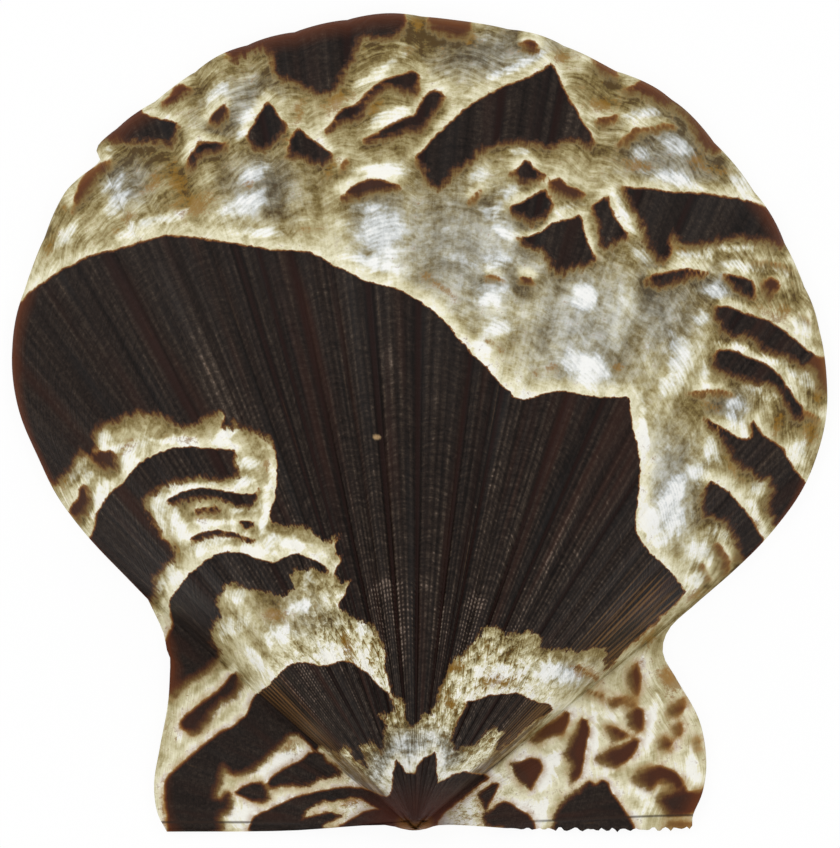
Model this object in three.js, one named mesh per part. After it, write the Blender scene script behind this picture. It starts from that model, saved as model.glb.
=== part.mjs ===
// One valve of a small scallop, lying on its rim with its outer face up.
// Millimetres, +Z up. +Y runs from the hinge to the far edge and +X towards the front ear.
// The valve is a thin ribbed dome that fans out from a pointed beak, with a flat ear on each
// side of the beak and a straight hinge line below. It grew as one piece, so it is one mesh.
import * as THREE from "three";

// The plan, seen from above. Directions are in degrees round the tip of the beak, from +X.
const MARGIN = [
  // direction, distance from the beak to the edge of the fan
  [38.8, 11.4],
  [38.9, 12.9],
  [39.6, 14.2],
  [40.9, 15.8],
  [42.4, 16.85],
  [45, 18.15],
  [48, 19.2],
  [52, 20.35],
  [56, 21.25],
  [60, 22.2],
  [66, 23.35],
  [71, 24.25],
  [76, 24.6],
  [81, 25.1],
  [87, 25.3],
  [92, 25.52],
  [98, 25.25],
  [104, 24.95],
  [109, 24.25],
  [115, 23.6],
  [116, 23.12],
  [120, 22.4],
  [124, 21.3],
  [128, 20.25],
  [131, 19.2],
  [133.5, 17.95],
  [135.5, 16.45],
  [137, 15.3],
  [138.2, 13.7],
  [138.9, 11.9],
  [139.3, 11.0],
];
const GROOVES = [
  // directions of the grooves between the ribs, from flank to flank
  38.8, 43, 47, 51, 55, 59, 63.5, 67.5, 70.5, 75, 79.5, 84.5, 89.8, 95.7, 100, 104, 108.5, 113,
  117.5, 122, 126, 130, 134.5, 139.3,
];
const FRONT_EAR = [
  // x and y of the ear's outer edge, from the hinge corner up to the byssal notch and the fan
  [8.66, -0.08],
  [8.68, 0.42],
  [8.98, 1.15],
  [9.1, 2.1],
  [8.88, 3.4],
  [8.16, 4.71],
  [7.74, 5.5],
  [7.9, 6.2],
  [8.88, 7.14],
];
const REAR_EAR = [
  // x and y, from the fan down to the hinge corner
  [-8.34, 7.17],
  [-7.86, 6.14],
  [-7.68, 5.2],
  [-7.72, 3.9],
  [-7.98, 2.5],
  [-8.15, 1.4],
  [-8.04, 0.5],
  [-7.75, -0.1],
];
const HINGE_LINE = [
  // x and y, from the rear corner to the beak and on to the front corner
  [-7.75, -0.1],
  [-4.0, -0.05],
  [-0.75, 0.14],
  [-0.3, 0.04],
  [0, -0.02],
  [0.3, 0.04],
  [0.75, 0.14],
  [4.0, -0.04],
  [8.66, -0.08],
];

// The dome, its ribs and its wall.
const DOME_HEIGHT = 5.0;
const CREST_SHARE = 0.42; // where the dome is highest, from the beak to the far edge
const BEAK_HEIGHT = 0.45;
const RIM_THICKNESS = 0.34;
const WALL = 0.4;
const STEEPEST_WALL = 2.6; // most that a steep flank adds to the wall, measured straight down
const RIB_HEIGHT = 0.16;
const EAR_CROWN = 0.42; // how far the ears bulge above their edges
const EAR_RIB_COUNT = 5;
const EAR_RIB_HEIGHT = 0.07;
const HINGE_PLATE = 0.75; // depth of the flat band inside the hinge line
const PIT_WIDTH = 1.1; // the ligament pit, a triangle under the beak
const PIT_LENGTH = 1.15;
const PIT_DEPTH = 0.4;
const EDGE_WAVE = 0.06; // how far the ribs lift the far edge off the table

// The mesh: rings from a pole just above the beak out to the edge.
const POLE = new THREE.Vector2(0, 0.3);
const RINGS = 19;
const RING_CROWDING = 1.3; // above 1, the rings crowd towards the beak
const COLUMNS_PER_RIB = 4;
const EAR_COLUMNS = 8;
const HINGE_COLUMNS = 14;
const RAY_BEND = 6; // how soon a column of the fan joins the ray from the beak

const SHELL_COLOUR = 0x5b4c40;

const { clamp, lerp, smoothstep, degToRad, radToDeg } = THREE.MathUtils;
const FRONT_FLANK = GROOVES[0];
const REAR_FLANK = GROOVES[GROOVES.length - 1];

function curveThrough(pairs) {
  const points = pairs.map(([a, b]) => new THREE.Vector3(a, b, 0));
  return new THREE.CatmullRomCurve3(points, false, "centripetal");
}

const marginSamples = curveThrough(MARGIN).getPoints(600);

function discRadius(direction) {
  const next = clamp(
    marginSamples.findIndex((p) => p.x >= direction),
    1,
    marginSamples.length - 1,
  );
  const [from, to] = [marginSamples[next - 1], marginSamples[next]];
  return lerp(from.y, to.y, clamp((direction - from.x) / (to.x - from.x), 0, 1));
}

// -1 at the front flank, 0 on the midline, 1 at the rear flank.
function fanShare(direction) {
  return (2 * (direction - FRONT_FLANK)) / (REAR_FLANK - FRONT_FLANK) - 1;
}

// Long profile of the dome, 0 at the beak and the far edge and 1 at the crest.
function longProfile(share) {
  const eased = Math.pow(clamp(share, 0, 1), Math.log(0.5) / Math.log(CREST_SHARE));
  return Math.pow(4 * eased * (1 - eased), 0.85);
}

// Cross profile of the dome, 0 at the flanks and 1 on the midline.
function crossProfile(fan) {
  return Math.pow(Math.max(0, 1 - Math.pow(Math.abs(fan), 2.4)), 0.7);
}

// Broad rib tops with narrow grooves between them: 0 in a groove and 1 on a crest.
function ribProfile(phase) {
  return Math.pow(Math.abs(Math.sin(Math.PI * phase)), 0.7);
}

function fanRib(direction) {
  const next = clamp(
    GROOVES.findIndex((groove) => groove >= direction),
    1,
    GROOVES.length - 1,
  );
  return ribProfile((direction - GROOVES[next - 1]) / (GROOVES[next] - GROOVES[next - 1]));
}

// Height of the outer face over a point of the plan.
function outerHeight(x, y) {
  const reach = Math.hypot(x, y);
  const direction = radToDeg(Math.atan2(y, x));
  const beak = BEAK_HEIGHT * Math.exp(-Math.pow(reach / 0.7, 2));
  if (direction >= FRONT_FLANK && direction <= REAR_FLANK) {
    const share = reach / discRadius(direction);
    const fan = fanShare(direction);
    const dome = DOME_HEIGHT * longProfile(share) * crossProfile(fan);
    const rise = smoothstep(share, 0, 0.3) * (1 - 0.45 * smoothstep(share, 0.55, 1));
    const rib = RIB_HEIGHT * rise * fanRib(direction) * (1 - Math.pow(Math.abs(fan), 8));
    return RIM_THICKNESS + beak + dome + rib;
  }
  const atFront = x > 0;
  const across = atFront ? direction / FRONT_FLANK : (180 - direction) / (180 - REAR_FLANK);
  const inEar = direction < 0 ? 0 : clamp(across, 0, 1);
  const out = clamp(reach / (atFront ? 9.2 : 8.1), 0, 1);
  const crown = Math.pow(Math.sin(Math.PI * inEar), 0.7) * (1 - Math.pow(out, 4));
  const rib = ribProfile(inEar * EAR_RIB_COUNT) * smoothstep(out, 0.1, 0.5);
  return RIM_THICKNESS + beak + (EAR_CROWN + EAR_RIB_HEIGHT * rib) * crown;
}

// Height of the inner face: the outer face less the wall, down to the flat rim and hinge plate.
function innerHeight(x, y) {
  const step = 0.05;
  const slopeX = (outerHeight(x + step, y) - outerHeight(x - step, y)) / (2 * step);
  const slopeY = (outerHeight(x, y + step) - outerHeight(x, y - step)) / (2 * step);
  const tilt = Math.min(Math.hypot(1, slopeX, slopeY), STEEPEST_WALL);
  const hollow = Math.max(0, outerHeight(x, y) - WALL * tilt);
  const open = hollow * smoothstep(y, HINGE_PLATE, HINGE_PLATE + 0.5);
  const pitShare = (y - 0.15) / (PIT_LENGTH - 0.15);
  const inPit = pitShare > 0 && pitShare < 1 && Math.abs(x) < 0.5 * PIT_WIDTH * pitShare;
  return inPit ? Math.max(open, PIT_DEPTH * pitShare) : open;
}

// How far the far edge is lifted at a point of the plan: ribs lift it, grooves touch the table.
function edgeLift(x, y) {
  const direction = radToDeg(Math.atan2(y, x));
  if (direction < FRONT_FLANK || direction > REAR_FLANK) return 0;
  const share = Math.hypot(x, y) / discRadius(direction);
  const middle = 1 - smoothstep(Math.abs(fanShare(direction)), 0.6, 0.9);
  return EDGE_WAVE * middle * smoothstep(share, 0.85, 1) * fanRib(direction);
}

// Points round the plan's edge, each with the bend of the column that runs to it.
function edgePoints() {
  const points = [];
  const follow = (pairs, first, columns, bendFrom, bendTo) => {
    const curve = curveThrough(pairs);
    for (let k = first; k < columns; k++) {
      const { x, y } = curve.getPointAt(k / columns);
      points.push({ x, y, bend: lerp(bendFrom, bendTo, k / columns) });
    }
  };
  follow(FRONT_EAR, 0, EAR_COLUMNS, 1, RAY_BEND);
  const columns = (GROOVES.length - 1) * COLUMNS_PER_RIB;
  for (let k = 0; k <= columns; k++) {
    const rib = Math.min(Math.floor(k / COLUMNS_PER_RIB), GROOVES.length - 2);
    const direction = lerp(GROOVES[rib], GROOVES[rib + 1], k / COLUMNS_PER_RIB - rib);
    const reach = discRadius(direction);
    const angle = degToRad(direction);
    points.push({ x: reach * Math.cos(angle), y: reach * Math.sin(angle), bend: RAY_BEND });
  }
  follow(REAR_EAR, 1, EAR_COLUMNS + 1, RAY_BEND, 1);
  follow(HINGE_LINE, 0, HINGE_COLUMNS, 1, 1);
  return points;
}

// The two faces on one set of plan points, closed round the edge.
function shellGeometry() {
  const edge = edgePoints();
  const plan = [POLE.toArray()];
  for (let ring = 1; ring <= RINGS; ring++) {
    const share = Math.pow(ring / RINGS, RING_CROWDING);
    for (const { x, y, bend } of edge) {
      const pull = Math.pow(1 - share, bend);
      plan.push([share * x + pull * POLE.x, share * y + pull * POLE.y]);
    }
  }
  const box = new THREE.Box2().setFromPoints(edge.map(({ x, y }) => new THREE.Vector2(x, y)));
  const centre = box.getCenter(new THREE.Vector2());

  const positions = [];
  for (const face of [outerHeight, innerHeight]) {
    for (const [x, y] of plan) {
      positions.push(x - centre.x, y - centre.y, face(x, y) + edgeLift(x, y));
    }
  }

  const faces = [];
  const count = edge.length;
  const inner = plan.length;
  const at = (ring, column) => 1 + (ring - 1) * count + (column % count);
  const both = (a, b, c) => {
    faces.push(a, b, c);
    faces.push(inner + a, inner + c, inner + b);
  };
  for (let column = 0; column < count; column++) {
    both(0, at(1, column), at(1, column + 1));
    for (let ring = 1; ring < RINGS; ring++) {
      both(at(ring, column), at(ring + 1, column), at(ring + 1, column + 1));
      both(at(ring, column), at(ring + 1, column + 1), at(ring, column + 1));
    }
    const [a, b] = [at(RINGS, column), at(RINGS, column + 1)];
    faces.push(a, inner + a, inner + b);
    faces.push(a, inner + b, b);
  }

  const geometry = new THREE.BufferGeometry();
  geometry.setAttribute("position", new THREE.Float32BufferAttribute(positions, 3));
  geometry.setIndex(faces);
  geometry.computeVertexNormals();
  return geometry;
}

const valve = new THREE.Mesh(
  shellGeometry(),
  new THREE.MeshStandardMaterial({ color: SHELL_COLOUR, roughness: 0.45, metalness: 0 }),
);
valve.name = "shell_valve";

const scallop = new THREE.Group();
scallop.name = "scallop";
scallop.add(valve);

export default scallop;
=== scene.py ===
import math

import bpy
import numpy as np
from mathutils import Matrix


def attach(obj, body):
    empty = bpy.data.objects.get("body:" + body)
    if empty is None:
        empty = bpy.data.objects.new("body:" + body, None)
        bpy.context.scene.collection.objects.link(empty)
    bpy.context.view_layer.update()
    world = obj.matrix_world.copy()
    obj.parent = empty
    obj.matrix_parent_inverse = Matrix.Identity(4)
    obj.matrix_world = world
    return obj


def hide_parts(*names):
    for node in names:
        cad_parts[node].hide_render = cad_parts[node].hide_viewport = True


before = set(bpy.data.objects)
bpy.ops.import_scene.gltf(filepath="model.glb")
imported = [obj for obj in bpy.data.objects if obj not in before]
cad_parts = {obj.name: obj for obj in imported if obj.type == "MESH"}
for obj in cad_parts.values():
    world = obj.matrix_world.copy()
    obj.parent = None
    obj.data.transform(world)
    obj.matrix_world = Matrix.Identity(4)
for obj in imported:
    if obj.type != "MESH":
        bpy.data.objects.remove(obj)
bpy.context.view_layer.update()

# The valve's form.
# Calcite laid down at its edge as the animal grew, so it fans out from the beak in ribs, crossed
# by growth threads along each old edge, with a flat ear on each side of the beak and a thin rim.
MARGIN = [  # direction in degrees round the beak, distance from it
    (38.8, 11.4), (39.06, 12.9), (39.6, 14.2), (40.9, 15.8), (42.4, 16.85), (45, 18.15),
    (48, 19.2), (52, 20.35), (56, 21.25), (60, 22.2), (66, 23.35), (71, 24.25), (76, 24.6),
    (81, 25.1), (87, 25.3), (92, 25.5), (98, 25.25), (104, 24.95), (109, 24.25), (113.6, 23.75),
    (115.1, 23.45), (115.2, 23.1), (118, 22.85), (120, 22.4), (124, 21.3), (128, 20.25),
    (131, 19.19), (133.5, 17.95), (135.5, 16.45), (137, 15.3), (138.2, 13.7), (138.9, 11.9),
    (139.3, 11.0),
]
FRONT_EAR = [
    (8.66, 0.105), (8.68, 0.42), (8.98, 1.15), (9.1, 2.1), (8.88, 3.4), (8.16, 4.71), (7.74, 5.5),
    (7.9, 6.2), (8.88, 7.14),
]
REAR_EAR = [
    (-8.34, 7.17), (-7.86, 6.14), (-7.74, 5.56), (-7.66, 5.4), (-7.66, 4.8), (-7.72, 3.9), (-7.98, 2.5),
    (-8.15, 1.4), (-8.04, 0.5), (-7.75, -0.08),
]
HINGE_LINE = [
    (-7.75, -0.08), (-4.0, -0.05), (-0.85, 0.13), (-0.4, 0.02), (-0.05, -0.03), (0.3, 0.01), (0.75, 0.13),
    (4.0, -0.04), (6.6, -0.07), (8.66, -0.02),
]
GROOVES = [
    38.8, 43, 47, 51, 54.3, 57.7, 62, 66.4, 70.7, 75.2, 79.2, 83.3, 89.5, 94.8, 98.6, 102.1, 106.2,
    109.7, 113, 117.8, 122, 126, 130, 134.5, 139.3,
]
# Deeper single furrows: direction, half width in degrees, strength. Each is pressed into the relief and
# darkened with painted shade, tinted red.
FURROWS = [
    (57.8, 0.45, 0.8), (66.4, 0.4, 1), (67.4, 0.25, 0.5), (70.7, 0.4, 1), (78.8, 0.4, 1),
    (80.1, 0.3, 0.8), (81.6, 0.25, 0.4), (83.3, 0.45, 1), (89.6, 0.5, 1.1), (91.0, 0.3, 0.4),
    (94.9, 0.45, 1.1), (102.1, 0.4, 1), (104.1, 0.3, 0.5), (105.1, 0.4, 1), (107.1, 0.35, 1),
    (109.5, 0.3, 0.4), (112.6, 0.3, 0.4), (118.0, 0.6, 0.8), (121.0, 0.3, 0.4), (62.0, 0.3, 0.35),
    (75.4, 0.3, 0.35), (85.8, 0.25, 0.3), (98.4, 0.25, 0.3), (100.1, 0.2, 0.3), (54.3, 0.3, 0.3),
]
FRONT_FLANK, REAR_FLANK = GROOVES[0], GROOVES[-1]
MILLIMETRE = 0.001
DOME_HEIGHT = 5.13
CREST_SHARE = 0.42  # where the dome is highest, as a share of the way from the beak to the edge
BEAK_HEIGHT = 0.45
BEAK_RADIUS = 0.7
RIM_THICKNESS = 0.34
WALL = 0.4
STEEPEST_WALL = 2.6  # how many times the wall a steep flank may measure straight down
RIB_HEIGHT = 0.15
FLANK_FILLET = 0.03  # share of half the fan over which the dome's flank eases in
FRONT_REACH, REAR_REACH = 9.2, 8.1  # how far the ears reach from the beak
EAR_CROWN = 0.42
EAR_RIB_COUNT = 5
EAR_RIB_HEIGHT = 0.07
FOLD_LOW, FOLD_HIGH = 0.22, 0.44  # the fold across the ears, just above the hinge line
FOLD_DROP = 0.1
TOOTH_FOOT = 0.125  # how far the feet of the hinge's teeth are set back
TOOTH_DEPTH = 0.06
HINGE_PLATE = 0.75
PIT_WIDTH = 1.1
PIT_LENGTH = 1.15
PIT_FOOT = 0.15
PIT_DEPTH = 0.4
EDGE_WAVE = 0.06
EDGE_SCALLOP = 0.05
POLE = np.array([0, 0.3])  # the rings of the mesh spread from here
FAN_COLUMNS = 320
EAR_COLUMNS = 36
HINGE_COLUMNS = 104
OUTER_RINGS = 165
INNER_RINGS = 34
FOOT_RING = 0.995  # share of the way out of the last ring but one
CURVE_STEPS = 24  # points from one given point of a line to the next


def flow(pairs):
    """A smooth line through the given points, as many close points."""
    given = np.array(pairs, float)
    given = np.vstack([2 * given[0] - given[1], given, 2 * given[-1] - given[-2]])
    gaps = np.linalg.norm(np.diff(given, axis=0), axis=1)
    knots = np.concatenate([[0], np.cumsum(gaps**0.5)])

    def between(before, after, low, high):
        share = (steps - knots[low]) / (knots[high] - knots[low])
        return before + (after - before) * share

    line = []
    for k in range(1, len(given) - 2):
        steps = np.linspace(knots[k], knots[k + 1], CURVE_STEPS, endpoint=False)[:, None]
        straight = [between(given[j], given[j + 1], j, j + 1) for j in range(k - 1, k + 2)]
        bent = [between(straight[j], straight[j + 1], k + j - 1, k + j + 1) for j in range(2)]
        line.append(between(*bent, k, k + 1))
    return np.vstack([*line, given[-2:-1]])


def along(line, shares):
    """Points at the given shares of a line's length."""
    length = np.concatenate([[0], np.cumsum(np.linalg.norm(np.diff(line, axis=0), axis=1))])
    spots = np.asarray(shares) * length[-1]
    return np.column_stack([np.interp(spots, length, line[:, axis]) for axis in (0, 1)])


def direction_of(x, y):
    """Degrees round the beak, 0 along the front half of the hinge and 90 at the far edge."""
    return np.degrees(np.arctan2(y, x))


def smoothstep(value, low, high):
    """0 below low and 1 above high, with an even curve between."""
    share = np.clip((value - low) / (high - low), 0, 1)
    return share * share * (3 - 2 * share)


def rib_phase(direction):
    """Counts ribs across the fan: whole numbers in the grooves. It runs on over the ears."""
    count = np.interp(direction, GROOVES, np.arange(len(GROOVES)))
    front = np.clip(FRONT_FLANK - direction, 0, None) / FRONT_FLANK * EAR_RIB_COUNT
    rear = np.clip(direction - REAR_FLANK, 0, None) / (180 - REAR_FLANK) * EAR_RIB_COUNT
    return count - front + rear


def rib_profile(phase):
    """0 in the grooves and 1 on the rounded back of each rib."""
    return np.abs(np.sin(np.pi * phase)) ** 0.7


def fan_share(direction):
    """-1 at the front flank of the dome, 0 on its midline and 1 at the rear flank."""
    return 2 * (direction - FRONT_FLANK) / (REAR_FLANK - FRONT_FLANK) - 1


margin_direction, margin_distance = np.array(MARGIN).T
margin_turn = np.radians(margin_direction)
fan_line = flow(margin_distance[:, None] * np.column_stack([np.cos(margin_turn), np.sin(margin_turn)]))
# the columns are spaced halfway between even steps along the edge and even turns round the beak
evenly = np.linspace(0, 1, 2001)
turned = fan_share(direction_of(*along(fan_line, evenly).T)) / 2 + 0.5
fan_shares = np.interp(np.linspace(0, 1, FAN_COLUMNS + 1), (turned + evenly) / 2, evenly)
fan_edge = along(fan_line, fan_shares)
fan_direction = direction_of(*fan_edge.T)
scallop = EDGE_SCALLOP * (rib_profile(rib_phase(fan_direction)) - 1)
scallop *= 1 - smoothstep(np.abs(fan_share(fan_direction)), 0.6, 0.9)
fan_edge *= 1 + (scallop / np.linalg.norm(fan_edge, axis=1))[:, None]

# the columns crowd along the front half, where the hinge line is finely toothed
hinge_stops = np.interp(
    np.arange(HINGE_COLUMNS) / HINGE_COLUMNS, [0, 0.1, 0.23, 0.28, 1], [0, 0.43, 0.52, 0.62, 1]
)
hinge_edge = along(flow(HINGE_LINE), hinge_stops)
toothed = smoothstep(hinge_edge[:, 0], 2.6, 4.4)
bite = hinge_edge[:, 0] + 0.08 * np.sin(3.1 * hinge_edge[:, 0])
uneven = 0.8 + 0.4 * np.sin(4.3 * bite)
teeth = TOOTH_DEPTH * (np.sin(16 * bite) * uneven + np.sin(27 * bite) / 3)
teeth = np.clip(0.07 + teeth, 0.012, None) * toothed
hinge_edge[:, 1] += TOOTH_FOOT * toothed

# the ears' columns crowd a little towards the hinge
ear_shares = (np.arange(EAR_COLUMNS) / EAR_COLUMNS) ** 1.4
edge = np.vstack([
    along(flow(FRONT_EAR), ear_shares),
    fan_edge,
    along(flow(REAR_EAR)[::-1], ear_shares[1:])[::-1],
    hinge_edge,
])
columns = len(edge)
hinge_start = columns - HINGE_COLUMNS
free_edge = edge[:hinge_start]
free_edge = free_edge[np.argsort(direction_of(*free_edge.T))]
free_directions = direction_of(*free_edge.T)
free_distances = np.linalg.norm(free_edge, axis=1)


def edge_distance(x, y):
    """From the beak to the shell's edge, in the direction of each point."""
    return np.interp(direction_of(x, y), free_directions, free_distances)


def growth_share(x, y):
    """0 at the beak and 1 at the edge, so a line of one value is an old edge of the shell."""
    return np.hypot(x, y) / edge_distance(x, y)


def outer_height(x, y):
    """Height of the outer face over the table: dome and ribs in the fan, and low crowned ears."""
    reach = np.hypot(x, y)
    direction = direction_of(x, y)
    fan = fan_share(direction)
    share = growth_share(x, y)
    beak = BEAK_HEIGHT * np.exp(-((reach / BEAK_RADIUS) ** 2))

    eased = np.clip(share, 0, 1) ** (math.log(0.5) / math.log(CREST_SHARE))
    long_profile = (4 * eased * (1 - eased)) ** 0.85
    inward = np.clip(1 - np.abs(fan), 0, None)
    cross_profile = (1 - np.clip(np.abs(fan), 0, 1) ** 2.4) ** 0.7 * inward / (inward + FLANK_FILLET)
    rise = smoothstep(share, 0, 0.3) * (1 - 0.45 * smoothstep(share, 0.55, 1))
    rib = RIB_HEIGHT * rise * rib_profile(rib_phase(direction)) * (1 - np.clip(fan, -1, 1) ** 8)
    front = x > 0
    out = np.clip(reach / np.where(front, FRONT_REACH, REAR_REACH), 0, 1)
    fade_out = 1 - out**4
    bulge = EAR_CROWN * fade_out * smoothstep(np.abs(fan), 0.7, 1)
    dome = DOME_HEIGHT * long_profile * cross_profile + rib + bulge

    across = np.where(front, direction / FRONT_FLANK, (180 - direction) / (180 - REAR_FLANK))
    across = np.where(direction < 0, 0, np.clip(across, 0, 1))
    crown = np.sin(0.5 * np.pi * across) ** 0.6 * fade_out
    ear_rib = rib_profile(across * EAR_RIB_COUNT) * smoothstep(out, 0.1, 0.5)
    ear = (EAR_CROWN + EAR_RIB_HEIGHT * ear_rib) * crown
    fold_line = FOLD_LOW + (FOLD_HIGH - FOLD_LOW) * smoothstep(x, 2, 9)
    folded = smoothstep(fold_line - y, -0.02, 0.12) * smoothstep(np.abs(x), 3.0, 4.2)
    ear = ear - FOLD_DROP * folded

    return RIM_THICKNESS + beak + np.where(np.abs(fan) <= 1, dome, ear)


def inner_height(x, y):
    """Height of the inner face: the outer one less the wall, 0 on the rim and the hinge plate."""
    step = 0.05
    slope_x = (outer_height(x + step, y) - outer_height(x - step, y)) / (2 * step)
    slope_y = (outer_height(x, y + step) - outer_height(x, y - step)) / (2 * step)
    tilt = np.minimum(np.sqrt(1 + slope_x**2 + slope_y**2), STEEPEST_WALL)
    hollow = np.clip(outer_height(x, y) - WALL * tilt, 0, None)
    hollow *= smoothstep(y, HINGE_PLATE, HINGE_PLATE + 0.5)
    pit_share = (y - PIT_FOOT) / (PIT_LENGTH - PIT_FOOT)
    in_pit = (pit_share > 0) & (pit_share < 1) & (np.abs(x) < 0.5 * PIT_WIDTH * pit_share)
    return np.where(in_pit, np.maximum(hollow, PIT_DEPTH * pit_share), hollow)


def edge_lift(x, y):
    """The ribs lift the far edge off the table a little, and the grooves touch it."""
    direction = direction_of(x, y)
    fan = np.abs(fan_share(direction))
    near_edge = smoothstep(growth_share(x, y), 0.85, 1) * (1 - smoothstep(fan, 0.6, 0.9))
    return np.where(fan < 1, EDGE_WAVE * near_edge * rib_profile(rib_phase(direction)), 0)


# how soon each column turns from the pole to the beak, as seen from its outer end: nearly at once in
# the fan, whose ribs run from the beak, and never along the hinge
bend = np.full(columns, 6.0)
bend[:EAR_COLUMNS] = 1 + 5 * ear_shares
bend[hinge_start - EAR_COLUMNS + 1 : hinge_start] = 1 + 5 * ear_shares[:0:-1]
bend[hinge_start:] = 1


def plan(rings, crowding):
    """Rings of points from near the pole out to the edge, seen from above.
    The last but one runs along the feet of the hinge's teeth, and the last round their tips."""
    share = (np.arange(1, rings + 1) / rings)[:, None] ** crowding
    share[-2] = FOOT_RING
    pull = (1 - share) ** bend
    ring = np.stack([share * edge[:, 0], share * edge[:, 1] + pull * POLE[1]], axis=-1)
    ring[-2, hinge_start:] += (hinge_edge - ring[-2, hinge_start:]) * toothed[:, None]
    ring[-1, hinge_start:, 1] -= teeth
    return ring


outer_plan = plan(OUTER_RINGS, 1.0)
inner_plan = plan(INNER_RINGS, 0.8)
points = []
for face_plan, face in ((outer_plan, outer_height), (inner_plan, inner_height)):
    x, y = np.vstack([POLE, face_plan.reshape(-1, 2)]).T
    points.append(np.column_stack([x, y, face(x, y) + edge_lift(x, y)]))
outer_count = len(points[0])
spot = np.vstack(points)


def ring_faces(start, rings, flip):
    """A fan of triangles round the pole, then rings of four-sided faces."""
    column = np.arange(columns)
    following = (column + 1) % columns
    faces = [(start, start + 1 + a, start + 1 + b) for a, b in zip(column, following)]
    for ring in range(rings - 1):
        low = start + 1 + ring * columns
        quad = (low + column, low + columns + column, low + columns + following, low + following)
        faces += np.column_stack(quad).tolist()
    return [tuple(reversed(face)) for face in faces] if flip else [tuple(face) for face in faces]


outer_rim = outer_count - columns + np.arange(columns)
inner_rim = len(spot) - columns + np.arange(columns)
rim_faces = np.column_stack(
    [outer_rim, inner_rim, np.roll(inner_rim, -1), np.roll(outer_rim, -1)]
).tolist()
faces = ring_faces(0, OUTER_RINGS, False) + ring_faces(outer_count, INNER_RINGS, True) + rim_faces

outline = outer_plan[-1]
box_middle = (outline.min(0) + outline.max(0)) / 2
mesh = bpy.data.meshes.new("valve")
rest = spot - [*box_middle, 0]
mesh.from_pydata((rest * MILLIMETRE).tolist(), [], faces)
mesh.polygons.foreach_set("use_smooth", np.ones(len(mesh.polygons), bool))
valve = bpy.data.objects.new("valve", mesh)
bpy.context.scene.collection.objects.link(valve)

# The map gives the material the number of ribs counted across and the share grown.
x, y = spot[:, 0], spot[:, 1]
around = direction_of(x, y)
reach = np.hypot(x, y)
growth_uv = mesh.uv_layers.new(name="growth")
loop_vertex = np.zeros(len(mesh.loops), int)
mesh.loops.foreach_get("vertex_index", loop_vertex)
map_points = np.column_stack([rib_phase(around), growth_share(x, y)])
growth_uv.data.foreach_set("uv", map_points[loop_vertex].ravel())

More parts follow.
